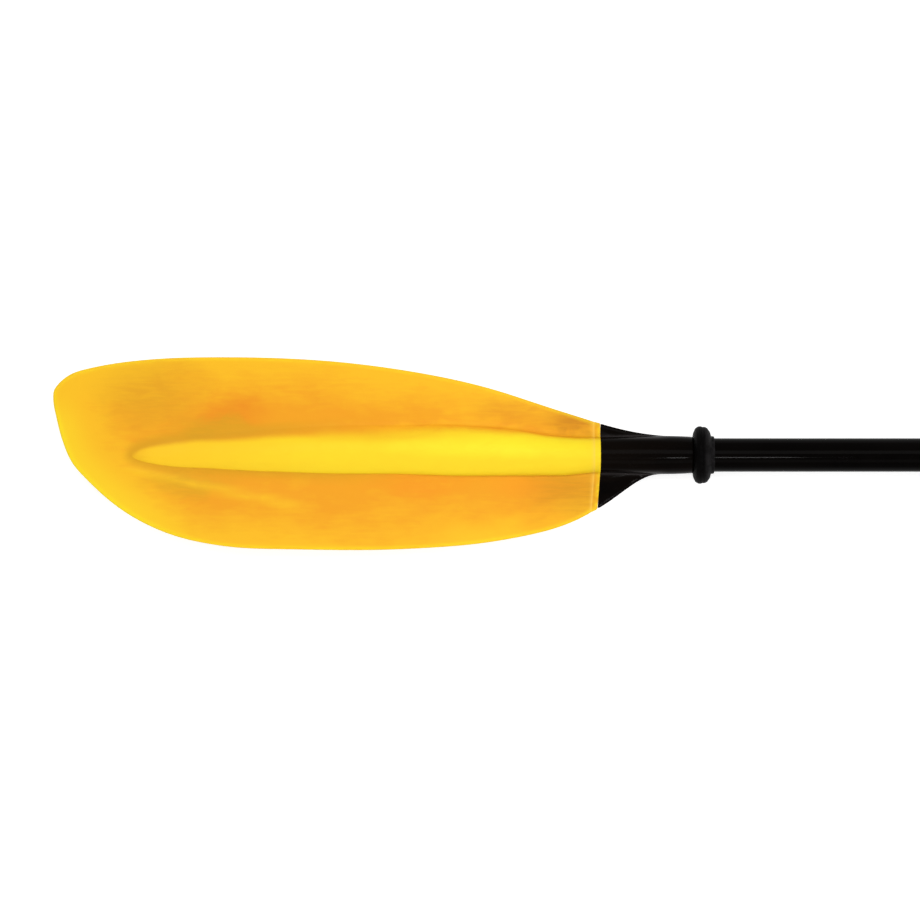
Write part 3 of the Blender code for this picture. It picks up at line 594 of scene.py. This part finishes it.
bladeShape = {
    "levels": 2,
    "creaseFrom": math.radians(14),
    "creaseTo": math.radians(70),
    "footCrease": 0.8,
    "endCrease": 0.9,
    "seamLean": 0.0026,
    "seamLeanRun": (0.0160, 0.0488),
    "seamLeanFade": 0.0600,
    "seamReach": 0.00025,
    "seamTolerance": 0.0001,
    "leanRounds": 3,
    "hemFromSeam": 0.0055,
    "hemWidth": 0.0016,
    "hemDepth": 0.0004,
    "foldStart": (0.050, -0.009),    # from the tip, across
    "foldEnd": (0.235, -0.050),
    "foldWidth": 0.0038,
    "foldRise": 0.0006,
    "foldFade": 0.030,
    # where the rib's flanks stand off the lofted line: across, reach across, the run along the blade from the
    # tip as start, full, full until and end, and the shift
    "flankShifts": (
        (0.0185, 0.0180, (0.285, 0.360, 0.395, 0.458), 0.0045),
        (-0.0138, 0.0110, (0.290, 0.370, 0.450, 0.484), -0.0027),
        (-0.0140, 0.0090, (0.100, 0.140, 0.195, 0.260), 0.0016),
    ),
    "rimThickness": 0.0012,
    "wingThickness": 0.0034,
    "leastRib": 0.0014,
    "footRise": (0.02, 0.12),    # share of the rib's height at its foot
    "stationLength": 0.0040,
    "footReach": 0.0095,
    "pocketReach": 0.0140,
    "markRounds": 6,
}


def creaseLayer(form):
    return form.edges.layers.float.get("crease_edge") or form.edges.layers.float.new("crease_edge")


def outsidePocket(point):
    return math.hypot(point.y, point.z - axisHeight) > bladeShape["pocketReach"]


def leanAt(point, sign):
    # how far the seam leans to the tip over the short side, fading along the blade
    leanFrom, leanTo = bladeShape["seamLeanRun"]
    outward = (-point.y - leanFrom) / (leanTo - leanFrom)
    near = 1 - easeIn(abs(abs(point.x) - seamX), 0, bladeShape["seamLeanFade"])
    return sign * bladeShape["seamLean"] * min(max(outward, 0.0), 1.0) * near


def straightenSeam(form, sign):
    for vert in form.verts:
        leaning = vert.co.copy()
        for _ in range(bladeShape["leanRounds"]):
            vert.co.x = leaning.x - leanAt(vert.co, sign)


def leanSeam(form, sign):
    for vert in form.verts:
        vert.co.x += leanAt(vert.co, sign)


def cutHem(form, sign):
    # the line where the blade's end overlaps the throat's rim, cut while the seam is straight
    centre = sign * (seamX + bladeShape["hemFromSeam"])
    halfWidth = bladeShape["hemWidth"] / 2
    for shift in (-1, 0, 1):
        bmesh.ops.bisect_plane(form, geom=list(form.verts) + list(form.edges) + list(form.faces),
                plane_co=(centre + shift * halfWidth, 0, 0), plane_no=(1, 0, 0), dist=1e-6)
    form.normal_update()
    hem = form.verts.layers.float.new("hem")
    for vert in form.verts:
        if abs(vert.co.x - centre) < halfWidth / 2 and outsidePocket(vert.co):
            vert.co -= vert.normal * bladeShape["hemDepth"]
            vert[hem] = 1.0


def atSeam(point):
    return abs(abs(point.x) - seamX) < bladeShape["seamTolerance"]


def creaseBlade(form):
    # firm edges round the root's face, and along the rib's foot on its steep short side
    crease = creaseLayer(form)
    for edge in form.edges:
        ends = [vert.co for vert in edge.verts]
        inPocket = not any(outsidePocket(point) for point in ends)
        level = abs(ends[0].x - ends[1].x) < meshing["mergeDistance"]
        if all(atSeam(point) for point in ends) or (inPocket and level):
            edge[crease] = bladeShape["endCrease"]
        elif edge.is_manifold and ends[0].y < 0:
            steep = easeIn(-edge.calc_face_angle_signed(), bladeShape["creaseFrom"], bladeShape["creaseTo"])
            edge[crease] = steep * bladeShape["footCrease"]


def reachOverSeam(form, sign):
    # the root's face comes up to the throat's rim
    for vert in form.verts:
        if atSeam(vert.co) and outsidePocket(vert.co):
            vert.co.x -= sign * bladeShape["seamReach"]


def raiseFold(form):
    # low fold that runs from the rib's nose towards the short edge
    start, end = (Vector(bladeShape[key]) for key in ("foldStart", "foldEnd"))
    mark = form.verts.layers.float.new("fold")
    run = (end - start).normalized()
    length = (end - start).length
    for vert in form.verts:
        offset = Vector((tipX - abs(vert.co.x), vert.co.y)) - start
        along = offset.dot(run)
        away = abs(offset.cross(run))
        fade = easeIn(along, 0, bladeShape["foldFade"]) * easeIn(length - along, 0, bladeShape["foldFade"])
        vert[mark] = fade * math.exp(-(away / bladeShape["foldWidth"]) ** 2)
        vert.co.z += bladeShape["foldRise"] * vert[mark]


def shiftFlanks(form):
    # the rib's flanks wander off the straight loft
    for vert in form.verts:
        fromTip = tipX - abs(vert.co.x)
        shift = 0.0
        for across, reach, (start, full, until, end), amount in bladeShape["flankShifts"]:
            run = easeIn(fromTip, start, full) * (1 - easeIn(fromTip, until, end))
            shift += amount * run * (1 - easeIn(abs(vert.co.y - across), 0, reach))
        vert.co.y += shift


def searchTree(points):
    tree = KDTree(len(points))
    for i, point in enumerate(points):
        tree.insert(point, i)
    tree.balance()
    return tree


def smoothMark(form, layer, rounds):
    for _ in range(rounds):
        means = [sum(edge.other_vert(vert)[layer] for edge in vert.link_edges) / len(vert.link_edges)
                for vert in form.verts]
        for vert, mean in zip(form.verts, means):
            vert[layer] = (vert[layer] + mean) / 2


def markBlade(form):
    # the rib's share of its height, the nearness of its foot and the distance from the rim, for the plastic
    tree = BVHTree.FromBMesh(form)
    ribRise, foot, fromRim = (form.verts.layers.float.new(name) for name in ("ribRise", "foot", "fromRim"))
    extra, highest, rim = {}, {}, []
    for vert in form.verts:
        above = tree.ray_cast(Vector((vert.co.x, vert.co.y, 1)), Vector((0, 0, -1)))[0]
        below = tree.ray_cast(Vector((vert.co.x, vert.co.y, -1)), Vector((0, 0, 1)))[0]
        local = (above - below).length if above and below else 0.0
        extra[vert] = max(local - bladeShape["wingThickness"], 0.0)
        station = round(vert.co.x / bladeShape["stationLength"])
        highest[station] = max(highest.get(station, 0.0), extra[vert])
        if local < bladeShape["rimThickness"] and outsidePocket(vert.co):
            rim.append(vert.co.copy())
    feet = []
    footLow, footHigh = bladeShape["footRise"]
    for vert in form.verts:
        place = vert.co.x / bladeShape["stationLength"]
        station = math.floor(place)
        nearest = highest.get(round(place), 0.0)
        before, after = highest.get(station, nearest), highest.get(station + 1, nearest)
        top = before + (after - before) * (place - station)
        vert[ribRise] = extra[vert] / max(top, bladeShape["leastRib"])
        if footLow < vert[ribRise] < footHigh:
            feet.append(Vector((vert.co.x, vert.co.y, 0)))
    smoothMark(form, ribRise, bladeShape["markRounds"])
    rimTree, footTree = searchTree(rim), searchTree(feet)
    for vert in form.verts:
        vert[fromRim] = rimTree.find(vert.co)[2]
        away = footTree.find(Vector((vert.co.x, vert.co.y, 0)))[2]
        vert[foot] = easeIn(bladeShape["footReach"] - away, 0, bladeShape["footReach"])


def makeBlade(side, material):
    sign = sides[side]["sign"]
    form = copyOfNode(side + "_blade", joinQuads=True)
    straightenSeam(form, sign)
    cutHem(form, sign)
    creaseBlade(form)
    reachOverSeam(form, sign)
    leanSeam(form, sign)
    blade = linkForm("blade_" + side, form)
    subdivide(blade, bladeShape["levels"])
    form = bmesh.new()
    form.from_mesh(blade.data)
    shiftFlanks(form)
    raiseFold(form)
    markBlade(form)
    form.to_mesh(blade.data)
    form.free()
    return dress(blade, material, sides[side]["body"], "blade_yellow", side + "_blade")


# the throats' black moulding

throatLook = {
    "colour": (0.0008, 0.0005, 0.0004, 1),
    "stainColour": (0.0030, 0.0017, 0.0011, 1),
    "dustColour": (0.040, 0.037, 0.034, 1),
    # colour of the painted highlight along the neck's fillets
    "creaseHighlightColour": (0.0700, 0.0620, 0.0620, 1),
    "specular": 0.015,
    "flow": (30.0, 0.4, 0.25),
    "scratches": (70.0, 0.3, 0.7),
    "grainScale": 1800.0,
    "dust": (420.0, 0.05),
    "creaseHighlightRun": (0.0, 1.0, 0.5, 1.0),
    "roughness": (0.09, 0.14, 0.2),
    "relief": (0.15, 0.5),
    "bumpDepth": 0.00002,
}

throatShape = {
    "levels": 2,
    "creaseAngle": math.radians(60),
    "endCrease": 0.9,
    "levelReach": 0.003,
    # where the painted highlight lies along the fillets between the neck and its fins
    "creaseHighlightRadius": 0.0162,
    "creaseHighlightWidth": 0.0014,
    "creaseHighlightReach": 0.062,
    "creaseHighlightFade": 0.012,
    "creaseHighlightLeast": 0.35,
    "creaseHighlightFull": (0.010, 0.045),
    "creaseHighlightFacing": (0.15, 0.6),
}


def makeThroat(side, material):
    form = copyOfNode(side + "_throat", joinQuads=True)
    crease = creaseLayer(form)
    for edge in form.edges:
        level = abs(edge.verts[0].co.x - edge.verts[1].co.x) < throatShape["levelReach"]
        if level and edge.is_manifold and edge.calc_face_angle() > throatShape["creaseAngle"]:
            edge[crease] = throatShape["endCrease"]
    throat = linkForm("throat_" + side, form)
    subdivide(throat, throatShape["levels"])
    form = bmesh.new()
    form.from_mesh(throat.data)
    form.normal_update()
    creaseHighlight = form.verts.layers.float.new("creaseHighlight")
    least = throatShape["creaseHighlightLeast"]
    for vert in form.verts:
        # the fillets between the neck and its fins get a painted highlight, where they face up or down
        away = (abs(vert.co.y) - throatShape["creaseHighlightRadius"]) / throatShape["creaseHighlightWidth"]
        out = seamX - abs(vert.co.x)
        share = least + (1 - least) * easeIn(out, *throatShape["creaseHighlightFull"])
        share *= easeIn(abs(vert.normal.z), *throatShape["creaseHighlightFacing"])
        share *= easeIn(throatShape["creaseHighlightReach"] - out, 0, throatShape["creaseHighlightFade"])
        vert[creaseHighlight] = math.exp(-away * away) * share
    form.to_mesh(throat.data)
    form.free()
    return dress(throat, material, sides[side]["body"], "throat_black", side + "_throat")


# the shaft's gloss black tubes

shaftLook = {
    "colour": (0.0006, 0.0003, 0.0002, 1),
    "stainColour": (0.0014, 0.0009, 0.0007, 1),
    "dustColour": (0.040, 0.038, 0.036, 1),
    "specular": 0.015,
    "flow": (22.0, 0.5, 0.2),
    "scratches": (50.0, 0.15, 0.8),
    "grindScale": 240.0,
    "dust": (500.0, 0.04),
    "roughness": (0.07, 0.12, 0.25),
    "relief": (0.2, 0.5),
    "bumpDepth": 0.00001,
}

tubeShape = {
    "wall": 0.0015,
    "endRounding": 0.0003,
    "holdLoop": 0.0015,
    "steps": 128,
    "slotLength": 0.0450,
    "slotWidth": 0.0024,
}


def makeTube(name, node, material, body, slotName):
    low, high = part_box(node)
    radius = (high.y - low.y) / 2
    bore = radius - tubeShape["wall"]
    # points beside the rounded ends keep the shading of the long faces straight
    start, end = low.x + tubeShape["holdLoop"], high.x - tubeShape["holdLoop"]
    profile = [(low.x, bore), (low.x, radius), (start, radius), (end, radius), (high.x, radius),
            (high.x, bore), (end, bore), (start, bore)]
    tube = linkForm(name, turned(profile, centre=(0, 0, axisHeight), steps=tubeShape["steps"],
            rounding=tubeShape["endRounding"], segments=3))
    if node == "left_shaft":
        # the clamped end is slotted, so that the clamp can draw it in
        halfWidth = tubeShape["slotWidth"] / 2
        cutWith(tube, boxForm((high.x - tubeShape["slotLength"], 0, axisHeight - halfWidth),
                (high.x + radius, 2 * radius, axisHeight + halfWidth)))
    return dress(tube, material, body, slotName, node)


# the rubber drip rings

ringLook = {
    "colour": (0.0004, 0.0003, 0.0003, 1),
    "wornColour": (0.0013, 0.0010, 0.0011, 1),
    "hubSidePaleColour": (0.0150, 0.0140, 0.0145, 1),
    "dustColour": (0.040, 0.038, 0.038, 1),
    "specular": 0.02,
    "grainScale": 1300.0,
    "flow": (130.0, 1.0, 0.2),
    "wornShare": 0.6,
    "hubSidePaleRun": (0.0, 1.0, 0.35, 0.8),
    "dust": (650.0, 0.12),
    "roughness": (0.50, 0.68),
    "bumpDepth": 0.00012,
}

ringShape = {
    # the span from the seat over which the ring turns paler towards its hub side
    "hubSidePaleSpan": (0.0078, 0.0118),
    # corners of the turned section as (from the blade's side, radius), and the radius that rounds each
    "section": ((0.0, 0.0154), (0.0, 0.0200), (0.0018, 0.0240), (0.0046, 0.0257), (0.0070, 0.0257),
        (0.0082, 0.0249), (0.0094, 0.0254), (0.0122, 0.0243), (0.0148, 0.0205), (0.0156, 0.0168),
        (0.0184, 0.0167), (0.0184, 0.0154)),
    "rounding": 0.0007,
}


def makeRing(side, material):
    low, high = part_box(side + "_drip_ring")
    sign = sides[side]["sign"]
    seat = high.x if sign > 0 else low.x
    profile = [(seat - sign * place, radius) for place, radius in ringShape["section"]]
    form = turned(profile, centre=(0, 0, axisHeight), rounding=ringShape["rounding"], segments=5)
    hubSidePale = form.verts.layers.float.new("hubSidePale")
    for vert in form.verts:
        vert[hubSidePale] = easeIn(abs(vert.co.x - seat), *ringShape["hubSidePaleSpan"])
    ring = linkForm("drip_ring_" + side, form)
    return dress(ring, material, sides[side]["ring"], "ring_rubber", side + "_drip_ring")


# the clamp, the ferrule and the pieces inside the tubes

nylonLook = {
    "specular": 0.4,
    "grainScale": 2200.0,
    "flow": (140.0, 0.8, 0.2),
    "wornShare": 0.5,
    "scratches": (160.0, 0.7, 0.8),
    "scratchShare": 0.4,
    "scratchDepth": 0.5,
    "bumpDepth": 0.00008,
}

plainLook = {"specular": 0.5, "flow": (70.0, 0.6, 0.25), "wornShare": 1.0, "bumpDepth": 0.00010}

plastics = {
    "clampNylon": {**nylonLook, "roughness": (0.42, 0.54),
        "colour": (0.0085, 0.0083, 0.0082, 1), "wornColour": (0.020, 0.0195, 0.019, 1)},
    "leverNylon": {**nylonLook, "roughness": (0.38, 0.50),
        "colour": (0.050, 0.050, 0.051, 1), "wornColour": (0.085, 0.084, 0.083, 1)},
    "spigotGlass": {**plainLook, "roughness": (0.40, 0.52), "grainScale": 900.0,
        "colour": (0.035, 0.035, 0.034, 1), "wornColour": (0.070, 0.069, 0.066, 1)},
    "guideWhite": {**plainLook, "roughness": (0.35, 0.47), "grainScale": 1500.0,
        "colour": (0.60, 0.60, 0.57, 1), "wornColour": (0.68, 0.68, 0.66, 1)},
    "plugFoam": {**plainLook, "roughness": (0.80, 0.92), "grainScale": 500.0,
        "colour": (0.25, 0.25, 0.24, 1), "wornColour": (0.34, 0.34, 0.32, 1)},
}

steelLook = {
    "colour": (0.50, 0.49, 0.47, 1),
    "paleColour": (0.60, 0.60, 0.60, 1),
    "brushing": (40.0, 600.0, 600.0),
    "lineScale": 8.0,
    "stains": (220.0, 1.0, 0.2),
    "roughnessRun": (0.3, 0.7, 0.22, 0.38),
    "bumpDepth": 0.00002,
}

clampShape = {
    "edge": 0.00035,
    "fineEdge": 0.00015,
    "gap": 0.0003,
    "collarChamfer": 0.0010,
    "lip": 0.0040,
    "lipBore": 0.0135,
    "slit": 0.0024,
    "earHeight": 0.0200,
    "earRounding": 0.0020,
    "boltHole": 0.0023,
    "boltHead": 0.0035,
    "boltShank": 0.0020,
    "headHeight": 0.0032,
    "boltRounding": 0.0003,
    "socket": 0.00173,
    "socketDepth": 0.0018,
    "washerRounding": 0.0002,
    "pinRounding": 0.0005,
    "camRadius": 0.0070,
    "camThrow": 0.0010,
    "leverRoot": 0.0105,
    "strap": 0.0038,
    "leverClear": 0.0010,
    "leverSweep": 50.0,
    "leverEnd": 150.0,
    "leverSoftAngle": 32,
    "flick": 0.0022,
    "flickAngle": 25.0,
    "leverSteps": 56,
    "leverSlot": 0.0052,
    "slotBack": 0.00286,
    "ridges": 4,
    "ridge": 0.00055,
    "ridgeInset": 0.0022,
    "ridgeSpacing": 3,    # steps of the lever's outline
}


def makeSteel():
    material, tree, shader = startMaterial("brushedSteel", Metallic=1.0)
    place = readPlace(tree)
    brushed = vectorCalc("MULTIPLY", place, steelLook["brushing"])[0]
    lines = addNoise(brushed, steelLook["lineScale"], 3.0)
    stains = flowMask(place, *steelLook["stains"])
    colour = blendColours(stains, steelLook["colour"], steelLook["paleColour"])
    setShader(tree, shader, colour, remap(lines, *steelLook["roughnessRun"]), lines, steelLook["bumpDepth"])
    return material


def measureClamp():
    # the clamp's bolt and lever pin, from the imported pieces
    pinLow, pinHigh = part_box("barrel_nut")
    boltLow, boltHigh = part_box("clamp_bolt")
    return {"pin": (pinLow + pinHigh) / 2, "pinRadius": (pinHigh.z - pinLow.z) / 2,
            "width": pinHigh.x - pinLow.x, "bolt": (boltLow + boltHigh) / 2}


def makeCollar(clamp, material):
    # turned band with an inner lip that meets the other tube, and the two ears that the bolt draws together
    low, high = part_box("clamp_collar")
    radius, chamfer = -low.y, clampShape["collarChamfer"]
    bore, lipBore, lip = shaftRadius + clampShape["gap"], clampShape["lipBore"], clampShape["lip"]
    profile = [(low.x, bore), (low.x, radius - chamfer), (low.x + chamfer, radius),
            (high.x - chamfer, radius), (high.x, radius - chamfer), (high.x, lipBore),
            (high.x - lip, lipBore), (high.x - lip, bore)]
    collar = linkForm("collar", turned(profile, centre=(0, 0, axisHeight)))
    middle, halfEar = clamp["bolt"].x, clamp["width"] / 2
    earTop = clampShape["earHeight"] / 2
    cutWith(collar, boxForm((middle - halfEar, bore + clampShape["gap"], axisHeight - earTop),
            (middle + halfEar, high.y, axisHeight + earTop),
            rounding=clampShape["earRounding"], segments=4), "UNION")
    halfSlit = clampShape["slit"] / 2
    cutWith(collar, boxForm((low.x - radius, 0, axisHeight - halfSlit),
            (high.x + radius, 2 * high.y, axisHeight + halfSlit)))
    cutWith(collar, rod(-2 * earTop, 2 * earTop, clampShape["boltHole"], axis=upward, steps=48,
            centre=(middle, clamp["bolt"].y, axisHeight)))
    softenEdges(collar, clampShape["edge"], segments=3)
    dress(collar, material, "root", "clamp_black", "clamp_collar")


def leverProfile(clamp):
    # outline across the shaft: thick over the pin, then a strap round the collar that flicks out at its end
    pin = clamp["pin"]
    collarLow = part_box("clamp_collar")[0]
    pinHeight = pin.z - axisHeight
    pinReach = math.hypot(pin.y, pinHeight)
    start = math.degrees(math.atan2(pinHeight, pin.y))
    wrapReach = -collarLow.y + clampShape["leverClear"] + clampShape["strap"] / 2
    inner, outer = [], []
    for i in range(clampShape["leverSteps"] + 1):
        angle = start + (clampShape["leverEnd"] - start) * i / clampShape["leverSteps"]
        settled = easeIn(angle - start, 0, clampShape["leverSweep"])
        flick = clampShape["flick"] * easeIn(angle, clampShape["leverEnd"] - clampShape["flickAngle"],
                clampShape["leverEnd"])
        reach = pinReach + (wrapReach - pinReach) * settled + flick
        half = (clampShape["leverRoot"] + (clampShape["strap"] - clampShape["leverRoot"]) * settled) / 2
        turn = Vector((0, math.cos(math.radians(angle)), math.sin(math.radians(angle))))
        inner.append(turn * (reach - half) + Vector((0, 0, axisHeight)))
        outer.append(turn * (reach + half) + Vector((0, 0, axisHeight)))
    return outer, inner


def makeLever(clamp, material):
    pin, halfWidth = clamp["pin"], clamp["width"] / 2
    outer, inner = leverProfile(clamp)
    form = bmesh.new()
    side = Vector((pin.x - halfWidth, 0, 0))
    face = form.faces.new([form.verts.new(point + side) for point in outer + inner[::-1]])
    pushed = bmesh.ops.extrude_face_region(form, geom=[face])["geom"]
    bmesh.ops.translate(form, vec=(2 * halfWidth, 0, 0),
            verts=[item for item in pushed if isinstance(item, bmesh.types.BMVert)])
    bmesh.ops.recalc_face_normals(form, faces=form.faces)
    lever = linkForm("lever", form)
    cutWith(lever, rod(-halfWidth, halfWidth, clampShape["camRadius"],
            centre=(pin.x, pin.y, pin.z - clampShape["camThrow"])), "UNION")
    # thumb ridges across the strap's end
    ridgeHalf = halfWidth - clampShape["ridgeInset"]
    for i in range(clampShape["ridges"]):
        spot = outer[-clampShape["ridgeSpacing"] * (i + 1)]
        ridge = rod(-ridgeHalf, ridgeHalf, clampShape["ridge"], centre=(pin.x, spot.y, spot.z), steps=16)
        cutWith(lever, ridge, "UNION")
    room = clampShape["camRadius"] * 2
    halfSlot = clampShape["leverSlot"] / 2
    cutWith(lever, boxForm((pin.x - halfSlot, pin.y - clampShape["slotBack"], pin.z - room),
            (pin.x + halfSlot, pin.y + room, pin.z + room)))
    cutWith(lever, rod(-room, room, clamp["pinRadius"] + clampShape["gap"], centre=pin, steps=64))
    softenEdges(lever, clampShape["edge"], segments=3, angle=clampShape["leverSoftAngle"])
    dress(lever, material, "lever", "lever_grey", "clamp_lever")


def makeFasteners(clamp, material):
    bolt, pin, half = clamp["bolt"], clamp["pin"], clamp["width"] / 2
    foot = (bolt.x, bolt.y, 0)
    low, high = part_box("clamp_bolt")
    head, shank, headEnd = clampShape["boltHead"], clampShape["boltShank"], low.z + clampShape["headHeight"]
    profile = [(low.z, 0), (low.z, head), (headEnd, head), (headEnd, shank), (high.z, shank), (high.z, 0)]
    piece = linkForm("bolt", turned(profile, centre=foot, axis=upward, steps=48,
            rounding=clampShape["boltRounding"], segments=3, closed=False))
    # six steps make the hexagon socket
    cutWith(piece, rod(low.z - head, low.z + clampShape["socketDepth"], clampShape["socket"], centre=foot,
            axis=upward, steps=6))
    dress(piece, material, "root", "steel", "clamp_bolt")
    low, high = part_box("clamp_washer")
    radius, hole = (high.x - low.x) / 2, clampShape["boltHole"]
    washer = turned([(low.z, hole), (low.z, radius), (high.z, radius), (high.z, hole)], centre=foot,
            axis=upward, steps=64, rounding=clampShape["washerRounding"], segments=3)
    dress(linkForm("washer", washer), material, "root", "steel", "clamp_washer")
    piece = linkForm("barrelPin", rod(-half, half, clamp["pinRadius"], centre=pin, steps=64,
            rounding=clampShape["pinRounding"], segments=3))
    cutWith(piece, rod(-half, half, hole, centre=pin, axis=upward, steps=48))
    dress(piece, material, "root", "steel", "barrel_nut")


def copyPiece(name, node, material, body, slotName, edge):
    piece = linkForm(name, copyOfNode(node))
    softenEdges(piece, edge)
    return dress(piece, material, body, slotName, node)


def makeClamp():
    nylon, leverNylon, spigotGlass, guideWhite, plugFoam = (makeMatt(*finish) for finish in plastics.items())
    steel = makeSteel()
    edge, fineEdge = clampShape["edge"], clampShape["fineEdge"]
    clamp = measureClamp()
    makeCollar(clamp, nylon)
    makeLever(clamp, leverNylon)
    makeFasteners(clamp, steel)
    copyPiece("camPlate", "wear_plate", steel, "root", "steel", fineEdge)
    copyPiece("spigotPlug", "spigot_tip_plug", nylon, "right_half", "clamp_black", fineEdge)
    copyPiece("guideRing", "spigot_guide_ring", guideWhite, "guide_ring", "guide_white", fineEdge)
    copyPiece("foamPlug", "left_float_plug", plugFoam, "root", "plug_foam", edge)
    makeTube("spigot", "ferrule_spigot", spigotGlass, "right_half", "spigot_grey")


bladePlastic = makeBladePlastic()
throatPlastic = makeGloss("throatPlastic", throatLook)
shaftGloss = makeGloss("shaftGloss", shaftLook)
ringRubber = makeMatt("ringRubber", ringLook)
for side in sides:
    makeBlade(side, bladePlastic)
    makeThroat(side, throatPlastic)
    makeRing(side, ringRubber)
    makeTube("shaft_" + side, side + "_shaft", shaftGloss, sides[side]["body"], "shaft_black")
print("blades, throats, rings and tubes made")
makeClamp()
print("clamp and ferrule made")


# studio: pale floor, soft lamps and the camera of the photograph

studio = {
    "floorSize": 60.0,
    "floorColour": (0.82, 0.82, 0.82, 1),
    "floorGlow": 0.55,
    "worldLevel": 0.48,
    "cameraAt": (-0.739, -0.00447),
    "cameraAbove": 3.15,
    "widthSeen": 0.8216,
    "sensor": 36.0,
    "clipEnd": 100.0,
    "lamps": {
        # place, size, watts, and the point that the lamp faces
        "keyLamp": ((-0.75, 0.75, 2.2), (2.6, 0.9), 22.5, (-0.75, 0, 0)),
        "fillLamp": ((-0.75, -1.5, 1.7), (2.6, 0.8), 8.0, (-0.75, 0, 0)),
        "farKeyLamp": ((0.95, 0.75, 2.2), (1.6, 0.9), 14.0, (0.95, 0, 0)),
        "lineLamp": ((-0.41, -0.36, 1.20), (0.17, 0.06), 2.4, (-0.46, 0, 0)),
    },
}


def seenShare(tree):
    # 1 where the camera looks, also in gloss and through glass, and 0 for the light on the object
    rays = addNode(tree, "LightPath").outputs
    reflected = calc("MAXIMUM", rays["Is Glossy Ray"], rays["Is Transmission Ray"])
    return calc("MAXIMUM", rays["Is Camera Ray"], reflected)


def emptyTree(holder):
    holder.use_nodes = True
    holder.node_tree.nodes.clear()
    return holder.node_tree


def makeFloor():
    form = bmesh.new()
    bmesh.ops.create_grid(form, x_segments=1, y_segments=1, size=studio["floorSize"] / 2)
    floor = linkForm("studioFloor", form)
    material = bpy.data.materials.new("paleFloor")
    tree = emptyTree(material)
    plain = addNode(tree, "BsdfDiffuse", {"Color": studio["floorColour"]})
    glow = times(seenShare(tree), studio["floorGlow"])
    white = addNode(tree, "Emission", {"Color": (1, 1, 1, 1), "Strength": glow})
    both = addNode(tree, "AddShader", {0: plain.outputs[0], 1: white.outputs[0]})
    addNode(tree, "OutputMaterial", {"Surface": both.outputs[0]})
    floor.data.materials.append(material)


def makeWorld():
    world = bpy.data.worlds.new("studioWorld")
    bpy.context.scene.world = world
    tree = emptyTree(world)
    level = remap(seenShare(tree), 0.0, 1.0, studio["worldLevel"], 1.0, curve="LINEAR")
    sky = addNode(tree, "Background", {"Color": (1, 1, 1, 1), "Strength": level})
    addNode(tree, "OutputWorld", {"Surface": sky.outputs[0]})


def makeLamps():
    for name, (place, size, watts, target) in studio["lamps"].items():
        light = bpy.data.lights.new(name, "AREA")
        light.shape = "RECTANGLE"
        light.size, light.size_y = size
        light.energy = watts
        lamp = addItem(name, light)
        lamp.location = place
        lamp.rotation_euler = (Vector(target) - Vector(place)).to_track_quat("-Z", "Y").to_euler()


def makeCamera():
    camera = bpy.data.cameras.new("photoCamera")
    camera.sensor_width = studio["sensor"]
    camera.lens = studio["sensor"] * studio["cameraAbove"] / studio["widthSeen"]
    camera.clip_end = studio["clipEnd"]
    item = addItem("photoCamera", camera)
    item.location = (*studio["cameraAt"], axisHeight + studio["cameraAbove"])
    bpy.context.scene.camera = item


makeFloor()
makeWorld()
makeLamps()
makeCamera()
bpy.context.scene.view_settings.view_transform = "Standard"
print("studio made")
